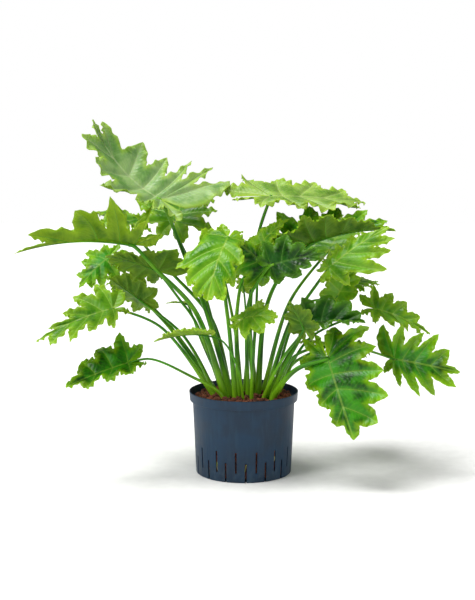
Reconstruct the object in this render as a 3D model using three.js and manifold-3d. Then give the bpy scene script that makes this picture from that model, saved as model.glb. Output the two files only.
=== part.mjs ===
// A potted tree philodendron: deeply cut leaves on long stalks, in a slotted culture pot of clay granules.
// Millimetres, +Z up, the pot's axis on the Z axis, its underside at z = 0, the front towards -Y.
import * as THREE from "three";
import { mergeVertices } from "three/addons/utils/BufferGeometryUtils.js";
import Module from "manifold-3d";

const wasm = await Module();
wasm.setup();

// Driving sizes.
const POT_HEIGHT = 190; // a 25/19 culture pot: 25 cm across the rim, 19 cm tall
const RIM_RADIUS = 125;
const RIM_HEIGHT = 21; // the band round the top
const BASE_RADIUS = 109.6;
const NECK_RADIUS = 117; // the wall where it meets the band
const WALL = 2.5;
const FLOOR = 3;
const POT_SIDES = 54;

const SLOTS = 15; // in each of two rows, one row half a step round from the other
const SLOT_WIDTH = 4;
const HIGH_SLOT = { from: 22, to: 70, turn: -9.3 }; // mm above the ground, degrees from the front
const LOW_SLOT = { from: -5, to: 45, turn: 2.3 }; // open at the foot of the wall

const FIT = 0.4; // clearance between pieces that touch
const HOLE = 0.9; // clearance round a stalk in the granules
const FILL_HEIGHT = 178; // level of the granules at the wall
const HEAP = 8; // how much higher they lie round the stalks
const GRANULE = 5; // height of the granules' relief
const FILL_RINGS = POT_SIDES / 6;

const BLADE = 1.0; // thickness of a leaf
const FOOT = 150; // how deep the stalks stand
const STALK_SIDES = 5;
const STALK_STEP = 80; // between the rings of a stalk

// Helpers.
const rad = THREE.MathUtils.degToRad;
const vec = (p) => new THREE.Vector3(p[0], p[1], p[2]);

// A repeatable draw in 0..1, and one in -1..1.
function draw(seed, k) {
  const v = Math.sin(seed * 12.9898 + k * 78.233) * 43758.5453;
  return v - Math.floor(v);
}
const swing = (seed, k) => 2 * draw(seed, k) - 1;

function solidOf(geometry) {
  const bare = new THREE.BufferGeometry();
  bare.setAttribute("position", geometry.getAttribute("position"));
  bare.setIndex(geometry.getIndex());
  const merged = mergeVertices(bare, 1e-4);
  const corners = [];
  const old = merged.index.array;
  for (let i = 0; i < old.length; i += 3) {
    const [a, b, c] = [old[i], old[i + 1], old[i + 2]];
    if (a !== b && b !== c && c !== a) corners.push(a, b, c);
  }
  return new wasm.Manifold(
    new wasm.Mesh({
      numProp: 3,
      vertProperties: merged.attributes.position.array,
      triVerts: new Uint32Array(corners),
    }),
  );
}

function geometryOf(solid) {
  const mesh = solid.getMesh();
  const geometry = new THREE.BufferGeometry();
  geometry.setAttribute("position", new THREE.BufferAttribute(mesh.vertProperties, 3));
  geometry.setIndex(new THREE.BufferAttribute(mesh.triVerts, 1));
  geometry.computeVertexNormals();
  return geometry;
}

function meshOf(points, faces) {
  const geometry = new THREE.BufferGeometry();
  const numbers = points.flatMap((p) => [p.x, p.y, p.z]);
  geometry.setAttribute("position", new THREE.Float32BufferAttribute(numbers, 3));
  geometry.setIndex(faces);
  return geometry;
}

// Pot.
const wallRadius = (z) => BASE_RADIUS + ((NECK_RADIUS - BASE_RADIUS) * z) / (POT_HEIGHT - RIM_HEIGHT);
const insideRadius = (z) => wallRadius(z) - WALL;

function potSolid() {
  const neck = POT_HEIGHT - RIM_HEIGHT;
  const outline = [
    [0, 0],
    [BASE_RADIUS - 2, 0],
    [BASE_RADIUS, 2],
    [NECK_RADIUS, neck],
    [RIM_RADIUS - 1.5, neck],
    [RIM_RADIUS, POT_HEIGHT - 1],
    [RIM_RADIUS - 1, POT_HEIGHT],
    [RIM_RADIUS - WALL, POT_HEIGHT],
    [RIM_RADIUS - WALL - 0.7, neck + 4],
    [insideRadius(neck), neck + 1],
    [insideRadius(FLOOR), FLOOR],
    [0, FLOOR],
  ].map(([r, z]) => new THREE.Vector2(r, z));
  const turned = new THREE.LatheGeometry(outline, POT_SIDES).rotateX(Math.PI / 2);
  const pot = solidOf(turned);
  const cutters = [];
  for (const row of [HIGH_SLOT, LOW_SLOT]) {
    for (let i = 0; i < SLOTS; i++) {
      const slot = new THREE.BoxGeometry(SLOT_WIDTH, 24, row.to - row.from);
      slot.translate(0, -BASE_RADIUS, (row.to + row.from) / 2);
      slot.rotateZ(rad(row.turn + (360 / SLOTS) * i));
      cutters.push(solidOf(slot));
    }
  }
  return pot.subtract(wasm.Manifold.union(cutters));
}

// Clay granules.
// One pebbled solid fills the pot: its top and its flank rise and fall by a seeded draw.
function fillSolid() {
  const points = [];
  const faces = [];
  const pebble = (k) => GRANULE * (draw(7, k) - 0.5);
  const heap = (r) => FILL_HEIGHT + HEAP * Math.cos((Math.min(r, 100) / 100) * (Math.PI / 2));
  const outer = insideRadius(FILL_HEIGHT) - 2 * FIT;
  const ringStart = [];
  for (let ring = 0; ring <= FILL_RINGS; ring++) {
    ringStart.push(points.length);
    const count = ring === 0 ? 1 : 6 * ring;
    const edge = ring === FILL_RINGS;
    for (let i = 0; i < count; i++) {
      const turn = (2 * Math.PI * i) / count;
      const slack = edge ? 0 : 2.5;
      const r = (outer * ring) / FILL_RINGS + slack * swing(3, points.length);
      const z = edge ? FILL_HEIGHT - 1 : heap(r) + pebble(points.length);
      points.push(new THREE.Vector3(r * Math.cos(turn), r * Math.sin(turn), z));
    }
  }
  for (let ring = 1; ring <= FILL_RINGS; ring++) {
    const [inner, outerStart] = [ringStart[ring - 1], ringStart[ring]];
    const innerCount = ring === 1 ? 1 : 6 * (ring - 1);
    const outerCount = 6 * ring;
    let a = 0;
    for (let b = 0; b < outerCount; b++) {
      const step = Math.round(((b + 1) * innerCount) / outerCount);
      const [o, oNext] = [outerStart + b, outerStart + ((b + 1) % outerCount)];
      faces.push(inner + (a % innerCount), o, oNext);
      if (innerCount > 1 && step > a) {
        faces.push(inner + (a % innerCount), oNext, inner + ((a + 1) % innerCount));
        a = step;
      }
    }
  }
  // The flank, from the edge of the top down to the floor.
  let above = ringStart[FILL_RINGS];
  const levels = [74, 57, 40, 22, FLOOR + FIT];
  for (const z of levels) {
    const below = points.length;
    const last = z === FLOOR + FIT;
    for (let i = 0; i < POT_SIDES; i++) {
      const turn = (2 * Math.PI * i) / POT_SIDES;
      const r = insideRadius(z) - 2 * FIT - (last ? 2 : GRANULE * 0.7 * draw(11, points.length));
      points.push(new THREE.Vector3(r * Math.cos(turn), r * Math.sin(turn), z));
    }
    for (let i = 0; i < POT_SIDES; i++) {
      const j = (i + 1) % POT_SIDES;
      faces.push(above + i, below + i, below + j, above + i, below + j, above + j);
    }
    above = below;
  }
  const middle = points.length;
  points.push(new THREE.Vector3(0, 0, FLOOR + FIT));
  for (let i = 0; i < POT_SIDES; i++) faces.push(above + i, middle, above + ((i + 1) % POT_SIDES));
  return solidOf(meshOf(points, faces));
}

// Leaf blade.
// A blade is drawn flat first, in shares of its own length: s runs along the midrib from the
// joint to the tip, t to its left. Each lobe has a vein of its own, which leaves the midrib at
// "start", turns away by an angle and has a length. Two neighbours part at a sinus.
const KINDS = {
  full: {
    starts: [0, 0, 0.06, 0.2, 0.38, 0.6],
    lobes: [[152, 0.4], [118, 0.52], [94, 0.56], [74, 0.56], [58, 0.48], [42, 0.34]],
    end: 0.76, sinus: 0.62, bulge: 0, wave: 0.035, teeth: 0.014,
  },
  cut: {
    starts: [0, 0, 0.12, 0.3, 0.55],
    lobes: [[150, 0.38], [112, 0.5], [84, 0.56], [62, 0.5], [44, 0.38]],
    end: 0.74, sinus: 0.55, bulge: 0, wave: 0.035, teeth: 0.014,
  },
  heart: {
    starts: [0, 0, 0.2, 0.42, 0.65],
    lobes: [[148, 0.4], [108, 0.48], [78, 0.48], [56, 0.42], [40, 0.28]],
    end: 0.78, sinus: 0.72, bulge: 0.06, wave: 0.03, teeth: 0.008,
  },
  small: {
    starts: [0, 0, 0.25, 0.52],
    lobes: [[145, 0.36], [100, 0.44], [62, 0.44], [42, 0.32]],
    end: 0.72, sinus: 0.68, bulge: 0.06, wave: 0.05, teeth: 0.01,
  },
};
const INWARD = [0, 1]; // rows of a half lobe, from the midrib to the sinus
const OUTWARD = [0.55, 1]; // and from the sinus to the lobe's tip
const ACROSS = [0, 1]; // from the lobe's vein to its margin
const REAR_SWELL = 0.3; // width of the lobe by the joint, behind its vein, as a share of its length

const toward = (angle) => new THREE.Vector2(Math.cos(angle), Math.sin(angle));

// The veins of one half of a blade, the one by the joint first and the tip's own last.
function veinsOf(leaf, side) {
  const kind = KINDS[leaf.kind];
  const own = side > 0 ? leaf.left : leaf.right;
  const wide = (leaf.wide ?? [1, 1])[side > 0 ? 0 : 1];
  const veins = (own ?? kind.lobes).map(([angle, length], i) => {
    const k = i * 7 + (side < 0 ? 40 : 0);
    const loose = own ? 0 : 1;
    const away = rad(angle + 7 * loose * swing(leaf.seed, k + 1));
    const bend = rad(away < rad(130) ? 16 : -14);
    return {
      i, k, side,
      from: new THREE.Vector2(kind.starts[i], 0),
      out: toward(away),
      over: toward(away - bend),
      length: length * (1 + 0.14 * loose * swing(leaf.seed, k + 2)) * (own ? 1 : wide),
      curl: swing(leaf.seed, k + 3),
      phase: draw(leaf.seed, k + 4),
      twist: swing(leaf.seed, k + 5),
      sinus: Math.min(0.85, kind.sinus * (1 + 0.12 * swing(leaf.seed, k + 6)) * (leaf.cut ?? 1)),
      last: false,
    };
  });
  veins.push({
    i: veins.length, k: 90, side,
    from: new THREE.Vector2(kind.end, 0),
    out: toward(0), over: toward(0),
    length: 1 - kind.end, curl: 0, phase: draw(leaf.seed, 91 + side), twist: 0,
    sinus: Math.min(0.8, 1.15 * kind.sinus), last: true,
  });
  return veins;
}

function alongVein(vein, p) {
  return vein.from
    .clone()
    .addScaledVector(vein.out, vein.length * (p - (p * p) / 2))
    .addScaledVector(vein.over, (vein.length * p * p) / 2);
}
const headingOf = (vein, p) => vein.out.clone().lerp(vein.over, p).normalize();

// The sinus between two neighbouring lobes, drawn back where it would lie past a short lobe's tip.
function notchBetween(a, b) {
  const reach = [a.sinus, b.sinus];
  let notch;
  for (let n = 0; n < 16; n++) {
    notch = alongVein(a, reach[0]).lerp(alongVein(b, reach[1]), 0.5);
    const past = [a, b].map((v) => {
      const beyond = notch.clone().sub(alongVein(v, v.sinus)).dot(headingOf(v, v.sinus));
      return beyond / (v.length * (1 - v.sinus));
    });
    if (Math.max(...past) <= 0.35) break;
    reach[past[0] > past[1] ? 1 : 0] *= 0.93;
  }
  return notch;
}

// The half lobes of a blade, each a small grid of flat points.
function halfLobes(leaf) {
  const kind = KINDS[leaf.kind];
  const halves = [];
  for (const side of [1, -1]) {
    const veins = veinsOf(leaf, side);
    veins.forEach((vein, i) => {
      for (const way of [-1, 1]) { // -1 is the half towards the joint, 1 the half towards the tip
        if (vein.last && way === 1) continue;
        const rear = i === 0 && way === -1;
        const next = way < 0 ? veins[i - 1] : veins[i + 1];
        const sinus = vein.sinus;
        const rib = rear ? vein.from : vein.from.clone().lerp(next.from, 0.5);
        const notch = rear ? vein.from : way < 0 ? notchBetween(next, vein) : notchBetween(vein, next);
        // Two neighbours keep to their own sides of a line out of the sinus, halfway between their tips.
        const ownSide = new THREE.Vector2();
        if (!rear) {
          const tips = [vein, next].map((v) => alongVein(v, 1).sub(notch).normalize());
          const apart = tips[0].clone().add(tips[1]).normalize();
          ownSide.set(-apart.y, apart.x);
          if (ownSide.dot(tips[0]) < 0) ownSide.negate();
        }
        const rows = INWARD.map((v) => v * sinus);
        OUTWARD.forEach((v) => rows.push(sinus + (1 - sinus) * v));
        const grid = rows.map((p) => {
          const r = Math.max(0, (p - sinus) / (1 - sinus));
          const spine = alongVein(vein, p);
          const heading = headingOf(vein, p);
          const outward = new THREE.Vector2(heading.y, -heading.x).multiplyScalar(way);
          const saw = (r * 3 + vein.phase) % 1;
          const tooth = (saw < 0.7 ? saw / 0.7 : (1 - saw) / 0.3) - 0.5;
          let margin;
          if (rear) {
            const swell = vein.length * REAR_SWELL * Math.pow(4 * p * (1 - p), 0.62) * (1.12 - 0.35 * p);
            const room = (0.8 * Math.abs(spine.y)) / Math.max(0.15, Math.abs(outward.y));
            margin = spine.clone().addScaledVector(outward, Math.min(swell, room));
          } else if (p <= sinus + 1e-9) {
            margin = rib.clone().lerp(notch, p / sinus);
          } else {
            const gap = notch.clone().sub(alongVein(vein, sinus));
            const turn = headingOf(vein, sinus);
            const along = gap.dot(turn);
            const wide = gap.dot(new THREE.Vector2(turn.y, -turn.x).multiplyScalar(way));
            const varied = 1 + 0.5 * swing(leaf.seed, vein.k + 11 + way);
            const bulge = kind.bulge * (vein.last ? 0.4 : 1) * varied;
            const taper = (1 + bulge * 4 * r * (1 - r)) * Math.pow(1 - Math.pow(r, 1.7), 0.95);
            margin = spine
              .clone()
              .addScaledVector(outward, wide * taper)
              .addScaledVector(heading, along * (1 - r) * (1 - r));
          }
          if (r > 0 && r < 1) {
            margin.addScaledVector(outward, kind.teeth * tooth * Math.pow(Math.sin(Math.PI * r), 0.7));
          }
          if (!rear && r > 0) {
            const over = 0.008 + 0.03 * margin.distanceTo(notch) - margin.clone().sub(notch).dot(ownSide);
            if (over > 0) margin.addScaledVector(ownSide, over);
          }
          if (p > 1 - 1e-9) margin = spine.clone(); // the tip
          return ACROSS.map((q) => ({ at: spine.clone().lerp(margin, q), p, q, r }));
        });
        halves.push({ side, way, rear, vein, grid });
      }
    });
  }
  return halves;
}

// The frame of a blade in space: the chord from joint to tip, bent down by the droop.
function frameOf(leaf) {
  const joint = vec(leaf.joint);
  const chord = vec(leaf.tip).sub(joint);
  const span = chord.length();
  const ahead = chord.normalize();
  const up = new THREE.Vector3(0, 0, 1).addScaledVector(ahead, -ahead.z).normalize();
  const left = new THREE.Vector3().crossVectors(up, ahead);
  const roll = rad(leaf.roll ?? 0);
  const leftward = left.clone().multiplyScalar(Math.cos(roll)).addScaledVector(up, Math.sin(roll));
  const top = up.clone().multiplyScalar(Math.cos(roll)).addScaledVector(left, -Math.sin(roll));
  const droop = rad(leaf.droop ?? 30);
  const length = (span * (droop / 2)) / Math.sin(droop / 2);
  const [cos, sin] = [Math.cos(droop / 2), Math.sin(droop / 2)];
  const start = ahead.clone().multiplyScalar(cos).addScaledVector(top, sin);
  const face = top.clone().multiplyScalar(cos).addScaledVector(ahead, -sin);
  return { joint, start, face, leftward, droop, length };
}

// A flat point of a blade in space: bent along the midrib, folded and arched across it,
// with each lobe curled, twisted and waved at its margin, and the veins sunk between pleats.
function placeOn(leaf, frame, half, point) {
  const kind = KINDS[leaf.kind];
  const { at, p, q, r } = point;
  const { vein, side } = half;
  const { joint, start, face, leftward, droop, length } = frame;
  const bend = at.x >= 0 ? droop : rad(20);
  const pitch = -bend * at.x;
  const run = Math.sin(bend * at.x) / bend;
  const drop = (Math.cos(bend * at.x) - 1) / bend;
  const normal = face.clone().multiplyScalar(Math.cos(pitch)).addScaledVector(start, -Math.sin(pitch));
  const fold = rad((leaf.folds ?? [10, 10])[side > 0 ? 0 : 1]);
  const arch = rad((leaf.arches ?? [-30, -30])[side > 0 ? 0 : 1]);
  const away = Math.abs(at.y);
  const slope = fold + arch * away;
  const across = (Math.sin(slope) - Math.sin(fold)) / arch;
  const rise = -(Math.cos(slope) - Math.cos(fold)) / arch;
  const place = joint
    .clone()
    .addScaledVector(start, length * run)
    .addScaledVector(face, length * drop)
    .addScaledVector(leftward, length * side * across)
    .addScaledVector(normal, length * rise);
  const outwardFace = normal
    .clone()
    .multiplyScalar(Math.cos(slope))
    .addScaledVector(leftward, -side * Math.sin(slope));
  let lift = vein.last ? 0 : (leaf.curl ?? 0.25) * vein.curl * vein.length * Math.pow(r, 1.7);
  const pleat = r > 0 ? 1 - r : Math.sin((Math.PI / 2) * Math.min(1, p / vein.sinus));
  if (!half.rear) lift += 0.03 * pleat * (1 - (1 - q) * (1 - q));
  const swell = Math.sin(Math.PI * Math.pow(r, 0.8));
  lift += kind.wave * q * q * swell * Math.sin(2 * Math.PI * (2.3 * r + vein.phase));
  lift += 0.36 * vein.twist * vein.length * q * half.way * r * (1 - r);
  const most = 0.35 * away + 1e-6; // near the midrib a half stays on its own side
  return place.addScaledVector(outwardFace, length * most * Math.tanh(lift / most));
}

// A sheet of triangles made solid: both faces alike, and a strip round every open edge.
function thicken(points, faces, thickness) {
  const normals = points.map(() => new THREE.Vector3());
  const edges = new Map();
  for (let i = 0; i < faces.length; i += 3) {
    const corner = [faces[i], faces[i + 1], faces[i + 2]];
    const [a, b, c] = corner.map((k) => points[k]);
    const normal = b.clone().sub(a).cross(c.clone().sub(a)).normalize();
    corner.forEach((k, j) => {
      normals[k].add(normal);
      edges.set(corner[j] + "," + corner[(j + 1) % 3], [corner[j], corner[(j + 1) % 3]]);
    });
  }
  normals.forEach((n) => n.normalize());
  const count = points.length;
  const both = [1, -1].flatMap((way) =>
    points.map((p, k) => p.clone().addScaledVector(normals[k], (way * thickness) / 2)),
  );
  const closed = [...faces];
  for (let i = 0; i < faces.length; i += 3) {
    closed.push(faces[i] + count, faces[i + 2] + count, faces[i + 1] + count);
  }
  for (const [a, b] of edges.values()) {
    if (edges.has(b + "," + a)) continue;
    closed.push(b, a, a + count, b, a + count, b + count);
  }
  return meshOf(both, closed);
}

function bladeSolid(leaf) {
  const frame = frameOf(leaf);
  const points = [];
  const faces = [];
  const known = new Map();
  const add = (half, point) => {
    const key = Math.round(point.at.x * 1e4) + "," + Math.round(point.at.y * half.side * 1e4);
    const tag = Math.abs(point.at.y) < 1e-6 ? Math.round(point.at.x * 1e4) + ",0" : key;
    if (!known.has(tag)) {
      known.set(tag, points.length);
      points.push(placeOn(leaf, frame, half, point));
    }
    return known.get(tag);
  };
  for (const half of halfLobes(leaf)) {
    const ids = half.grid.map((row) => row.map((point) => add(half, point)));
    for (let i = 0; i + 1 < ids.length; i++) {
      for (let j = 0; j + 1 < ids[i].length; j++) {
        const [a, b, c, d] = [ids[i][j], ids[i + 1][j], ids[i + 1][j + 1], ids[i][j + 1]];
        for (const face of [[a, b, c], [a, c, d]]) {
          if (new Set(face).size < 3) continue;
          if (half.side * half.way > 0) face.reverse();
          faces.push(...face);
        }
      }
    }
  }
  return solidOf(thicken(points, faces, BLADE));
}

// Leaf stalk.
// Rings round a smooth curve through the route, wide where the stalk sheathes the crown.
function stalkRings(leaf, extra = 0) {
  const { joint, face, start } = frameOf(leaf);
  const [low, high] = leaf.stalk;
  const last = vec(leaf.route[leaf.route.length - 1]);
  const along = joint.clone().sub(last).normalize();
  const ends = [joint.clone().addScaledVector(along, 0.5 * high)];
  if (along.dot(start) > 0.3) {
    ends[0] = joint.clone().addScaledVector(face, -0.4 * high);
    ends.push(joint.clone().addScaledVector(face, -0.3 * high).addScaledVector(start, 2.5 * high));
  }
  const foot = new THREE.Vector3(leaf.foot[0], leaf.foot[1], FOOT);
  const rise = foot.clone().lerp(vec(leaf.route[0]), 0.18).setZ(FOOT + 40);
  const through = [foot, rise, ...leaf.route.map(vec), ...ends];
  const curve = new THREE.CatmullRomCurve3(through, false, "centripetal");
  const steps = Math.round(curve.getLength() / STALK_STEP) + 2;
  const rings = [];
  let side = new THREE.Vector3(1, 0, 0);
  for (let k = 0; k <= steps; k++) {
    const share = k / steps;
    const centre = curve.getPointAt(share);
    if (k === 0) centre.addScaledVector(curve.getTangentAt(0), -1.4 * extra);
    const ahead = curve.getTangentAt(share);
    if (k === 0) ahead.set(0, 0, 1);
    side = side.clone().addScaledVector(ahead, -side.dot(ahead)).normalize();
    const other = new THREE.Vector3().crossVectors(ahead, side);
    const radius = high + (low - high) * Math.pow(1 - share, 1.7) + extra;
    const ring = [];
    for (let i = 0; i < STALK_SIDES; i++) {
      const turn = (2 * Math.PI * i) / STALK_SIDES;
      const [across, up] = [radius * Math.cos(turn), radius * Math.sin(turn)];
      ring.push(centre.clone().addScaledVector(side, across).addScaledVector(other, up));
    }
    rings.push(ring);
  }
  return rings;
}

function tubeSolid(rings) {
  const n = STALK_SIDES;
  const points = rings.flat();
  const faces = [];
  for (let k = 0; k + 1 < rings.length; k++) {
    for (let i = 0; i < n; i++) {
      const [a, b] = [k * n + i, k * n + ((i + 1) % n)];
      faces.push(a, b, b + n, a, b + n, a + n);
    }
  }
  const top = (rings.length - 1) * n;
  for (let i = 1; i + 1 < n; i++) faces.push(0, i + 1, i, top, top + i, top + i + 1);
  return solidOf(meshOf(points, faces));
}

// The leaves.
// joint: where the stalk meets the blade. tip: the blade's own tip. roll: turn about the line
// from joint to tip, left side up. droop: bend along the midrib. folds, arches: slope of the left
// and the right half at the midrib, and how it changes outwards. Angles are in degrees.
const LEAVES = [
  {
    name: "leaf_upper_left", kind: "full", seed: 1, joint: [-190, 40, 625], tip: [-345, 75, 805],
    roll: -30, droop: -60, folds: [5, 15], arches: [50, 20], curl: 0.2, cut: 0.8,
    left: [[150, 0.36], [122, 0.3], [98, 0.28], [78, 0.58], [60, 0.5], [36, 0.38]],
    right: [[128, 0.68], [112, 0.62], [100, 0.54], [88, 0.42], [68, 0.37], [22, 0.36]],
    foot: [-19, -5], route: [[-88, 32, 375], [-120, 45, 455]], stalk: [9, 4],
  },
  {
    name: "leaf_upper_left_back", kind: "cut", seed: 2, joint: [-160, 110, 570], tip: [-125, 290, 625],
    foot: [-26, 14], route: [[-95, 90, 410], [-150, 110, 525]], stalk: [7, 3.2],
  },
  {
    name: "leaf_left_folded", kind: "cut", seed: 3, joint: [-245, -50, 530], tip: [-505, -90, 515],
    roll: -5, folds: [62, 50], arches: [-15, -20], cut: 0.5,
    left: [[138, 0.22], [108, 0.26], [82, 0.44], [74, 0.46], [30, 0.33]],
    right: [[140, 0.26], [112, 0.44], [92, 0.42], [80, 0.31], [50, 0.2]],
    foot: [-30, -24], route: [[-110, -35, 380], [-195, -50, 475]], stalk: [9, 4.5],
  },
  {
    name: "leaf_left_cupped", kind: "heart", seed: 4, joint: [-195, -4, 465], tip: [-305, -84, 510],
    roll: 45, droop: 20, arches: [-40, -40],
    left: [[130, 0.62], [84, 0.6], [52, 0.3], [38, 0.33], [26, 0.26]],
    right: [[150, 0.22], [124, 0.34], [92, 0.38], [78, 0.34], [62, 0.25]],
    foot: [-37, -3], route: [[-110, -4, 350], [-145, -4, 400]], stalk: [6, 3],
  },
  {
    name: "leaf_left_drooping", kind: "cut", seed: 5, joint: [-310, 72, 490], tip: [-380, 52, 420],
    roll: -50, droop: 40, folds: [-10, -10], arches: [-50, -50], wide: [1.1, 1.1],
    foot: [-55, 20], route: [[-170, 66, 320], [-262, 80, 420], [-288, 78, 476]], stalk: [5, 2.5],
  },
  {
    name: "leaf_left_inner", kind: "heart", seed: 6, joint: [-235, 28, 392], tip: [-310, 12, 448],
    roll: 50, droop: 10, folds: [30, 25], arches: [-20, -20], wide: [1.1, 1.1],
    foot: [-54, -2], route: [[-140, 20, 315]], stalk: [6, 3],
  },
  {
    name: "leaf_left_lower", kind: "cut", seed: 7, joint: [-295, -40, 385], tip: [-465, -68, 315],
    roll: -35, droop: 25, folds: [18, 15],
    left: [[130, 0.26], [86, 0.42], [68, 0.5], [50, 0.44], [46, 0.38]],
    right: [[128, 0.36], [88, 0.5], [60, 0.45], [38, 0.32], [20, 0.26]],
    foot: [-48, -23], route: [[-190, -36, 345]], stalk: [6, 3],
  },
  {
    name: "leaf_left_low", kind: "small", seed: 8, joint: [-260, -60, 265], tip: [-395, -110, 220],
    roll: -45, droop: 15, folds: [28, 5], arches: [-20, -20],
    left: [[130, 0.3], [80, 0.36], [58, 0.3], [56, 0.32]],
    right: [[140, 0.38], [106, 0.5], [92, 0.46], [76, 0.3]],
    foot: [-37, -42], route: [[-120, -60, 235], [-210, -65, 275]], stalk: [5, 2.5],
  },
  {
    name: "leaf_centre_hanging", kind: "heart", seed: 9, joint: [-35, -80, 550], tip: [-80, -190, 425],
    roll: -10, droop: 45, folds: [-5, 0], arches: [-40, -40],
    left: [[150, 0.3], [104, 0.22], [62, 0.36], [50, 0.42], [40, 0.38]],
    right: [[142, 0.3], [108, 0.36], [56, 0.66], [46, 0.52], [32, 0.36]],
    foot: [-17, -46], route: [[-32, -62, 335], [-42, -60, 430], [-36, -62, 500]], stalk: [7, 3.5],
  },
  {
    name: "leaf_centre", kind: "heart", seed: 10, joint: [48, -32, 476], tip: [-37, -60, 550],
    roll: -45, folds: [-60, 5], arches: [-20, -40], wide: [1.1, 0.8],
    foot: [-9, -27], route: [[-15, -26, 380], [5, -20, 460]], stalk: [8, 3.5],
  },
  {
    name: "leaf_centre_right", kind: "heart", seed: 11, joint: [60, -88, 490], tip: [180, -130, 520],
    roll: 55, droop: 20, folds: [25, -25], arches: [-20, -30],
    left: [[140, 0.3], [104, 0.44], [76, 0.47], [50, 0.32], [34, 0.24]],
    right: [[140, 0.26], [88, 0.36], [52, 0.42], [36, 0.36], [24, 0.24]],
    foot: [9, -30], route: [[10, -62, 400], [30, -80, 450]], stalk: [6, 3],
  },
  {
    name: "leaf_centre_back", kind: "heart", seed: 12, joint: [34, 48, 518], tip: [104, 38, 580],
    roll: 40, droop: 20, wide: [0.8, 0.8],
    foot: [15, 9], route: [[30, 32, 400]], stalk: [5, 2.8],
  },
  {
    name: "leaf_right_folded", kind: "full", seed: 13, joint: [150, 14, 525], tip: [345, 6, 555],
    folds: [55, 50], arches: [-25, -15], curl: 0.2,
    left: [[140, 0.6], [116, 0.6], [90, 0.52], [70, 0.44], [46, 0.4], [34, 0.34]],
    right: [[150, 0.55], [124, 0.56], [98, 0.46], [86, 0.46], [72, 0.3], [52, 0.2]],
    foot: [29, -3], route: [[50, 10, 375], [85, 14, 455]], stalk: [9, 4],
  },
  {
    name: "leaf_right_broad", kind: "cut", seed: 14, joint: [190, -50, 480], tip: [325, -35, 570],
    roll: 45, droop: 25, folds: [-25, -5], arches: [-30, -25],
    left: [[128, 0.3], [94, 0.32], [68, 0.34], [56, 0.34], [50, 0.3]],
    right: [[148, 0.24], [88, 0.4], [56, 0.74], [40, 0.62], [38, 0.46]],
    foot: [42, -18], route: [[108, -24, 360], [135, -36, 400]], stalk: [8, 3.5],
  },
  {
    name: "leaf_right_inner", kind: "heart", seed: 15, joint: [215, 60, 395], tip: [255, 90, 470],
    roll: 60, droop: 20, folds: [20, 20], wide: [1.1, 1.1],
    foot: [53, 16], route: [[140, 62, 378]], stalk: [5, 2.5],
  },
  {
    name: "leaf_right_lower", kind: "cut", seed: 16, joint: [300, 20, 375], tip: [425, -10, 320],
    roll: 35, droop: 35, folds: [30, 15],
    left: [[140, 0.38], [116, 0.42], [88, 0.36], [70, 0.3], [48, 0.22]],
    right: [[128, 0.28], [76, 0.38], [58, 0.5], [42, 0.44], [28, 0.34]],
    foot: [70, 4], route: [[150, 22, 305], [260, 22, 360]], stalk: [5, 2.5],
  },
  {
    name: "leaf_far_right", kind: "cut", seed: 17, joint: [340, -40, 270], tip: [485, -70, 245],
    roll: 60, droop: 15, folds: [20, -10], arches: [-10, -20], curl: 0.4, cut: 0.85,
    left: [[124, 0.56], [92, 0.54], [70, 0.54], [68, 0.56], [60, 0.38]],
    right: [[120, 0.26], [76, 0.44], [60, 0.62], [54, 0.6], [36, 0.5]],
    foot: [71, -13], route: [[114, -22, 272], [200, -40, 300], [280, -45, 290]], stalk: [5, 2.6],
  },
  {
    name: "leaf_front_right", kind: "full", seed: 18, joint: [185, -110, 285], tip: [240, -170, 115],
    roll: 50, droop: 20, folds: [0, -25], arches: [-10, -15],
    left: [[146, 0.42], [122, 0.64], [104, 0.6], [84, 0.6], [72, 0.6], [56, 0.44]],
    right: [[162, 0.34], [144, 0.42], [122, 0.46], [98, 0.46], [76, 0.3], [48, 0.26]],
    foot: [58, -44], route: [[118, -94, 258]], stalk: [9, 5],
  },
  {
    name: "leaf_right_round", kind: "small", seed: 19, joint: [132, -114, 352], tip: [97, -138, 417],
    roll: 30, droop: 20, wide: [1.1, 1.1],
    foot: [38, -46], route: [[88, -94, 285]], stalk: [5, 2.8],
  },
  {
    name: "leaf_right_dark", kind: "heart", seed: 20, joint: [150, -58, 355], tip: [270, -86, 360],
    roll: 30, droop: 25, folds: [50, 40],
    left: [[140, 0.26], [108, 0.5], [78, 0.52], [56, 0.45], [40, 0.3]],
    right: [[140, 0.22], [104, 0.4], [78, 0.5], [56, 0.45], [40, 0.3]],
    foot: [57, -26], route: [[108, -54, 285]], stalk: [6, 3],
  },
  {
    name: "leaf_front_small", kind: "small", seed: 21, joint: [0, -110, 375], tip: [75, -125, 380],
    roll: 25, folds: [0, -10], wide: [1.5, 1.5],
    foot: [18, -51], route: [[15, -98, 325]], stalk: [5, 2.6],
  },
  {
    name: "leaf_upper_right", kind: "cut", seed: 22, joint: [62, 60, 631], tip: [285, 110, 610],
    roll: 37, droop: 12, folds: [-19, 26], arches: [-5, -25], curl: 0.12, cut: 1.2,
    left: [[151, 0.5], [117, 0.61], [96, 0.41], [63, 0.43], [46, 0.36]],
    right: [[160, 0.41], [127, 0.29], [77, 0.4], [65, 0.48], [50, 0.41]],
    foot: [28, 19], route: [[14, 62, 330], [32, 80, 530]], stalk: [8, 3.6],
  },
  {
    name: "young_leaf_middle", kind: "small", seed: 26, joint: [0, 16, 425], tip: [-10, 0, 450],
    droop: 20, wide: [1.6, 1.6],
    foot: [-1, -9], route: [[8, 6, 300]], stalk: [4, 2.2],
  },
  {
    name: "young_leaf_left_upper", kind: "small", seed: 27, joint: [-130, 38, 385], tip: [-180, 38, 385],
    roll: 10, droop: 20,
    foot: [-40, 14], route: [[-98, 30, 300]], stalk: [4, 2.2],
  },
  {
    name: "young_leaf_left_lower", kind: "small", seed: 28, joint: [-100, -90, 335], tip: [-200, -102, 320],
    roll: 5, droop: 20, folds: [30, 10],
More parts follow.
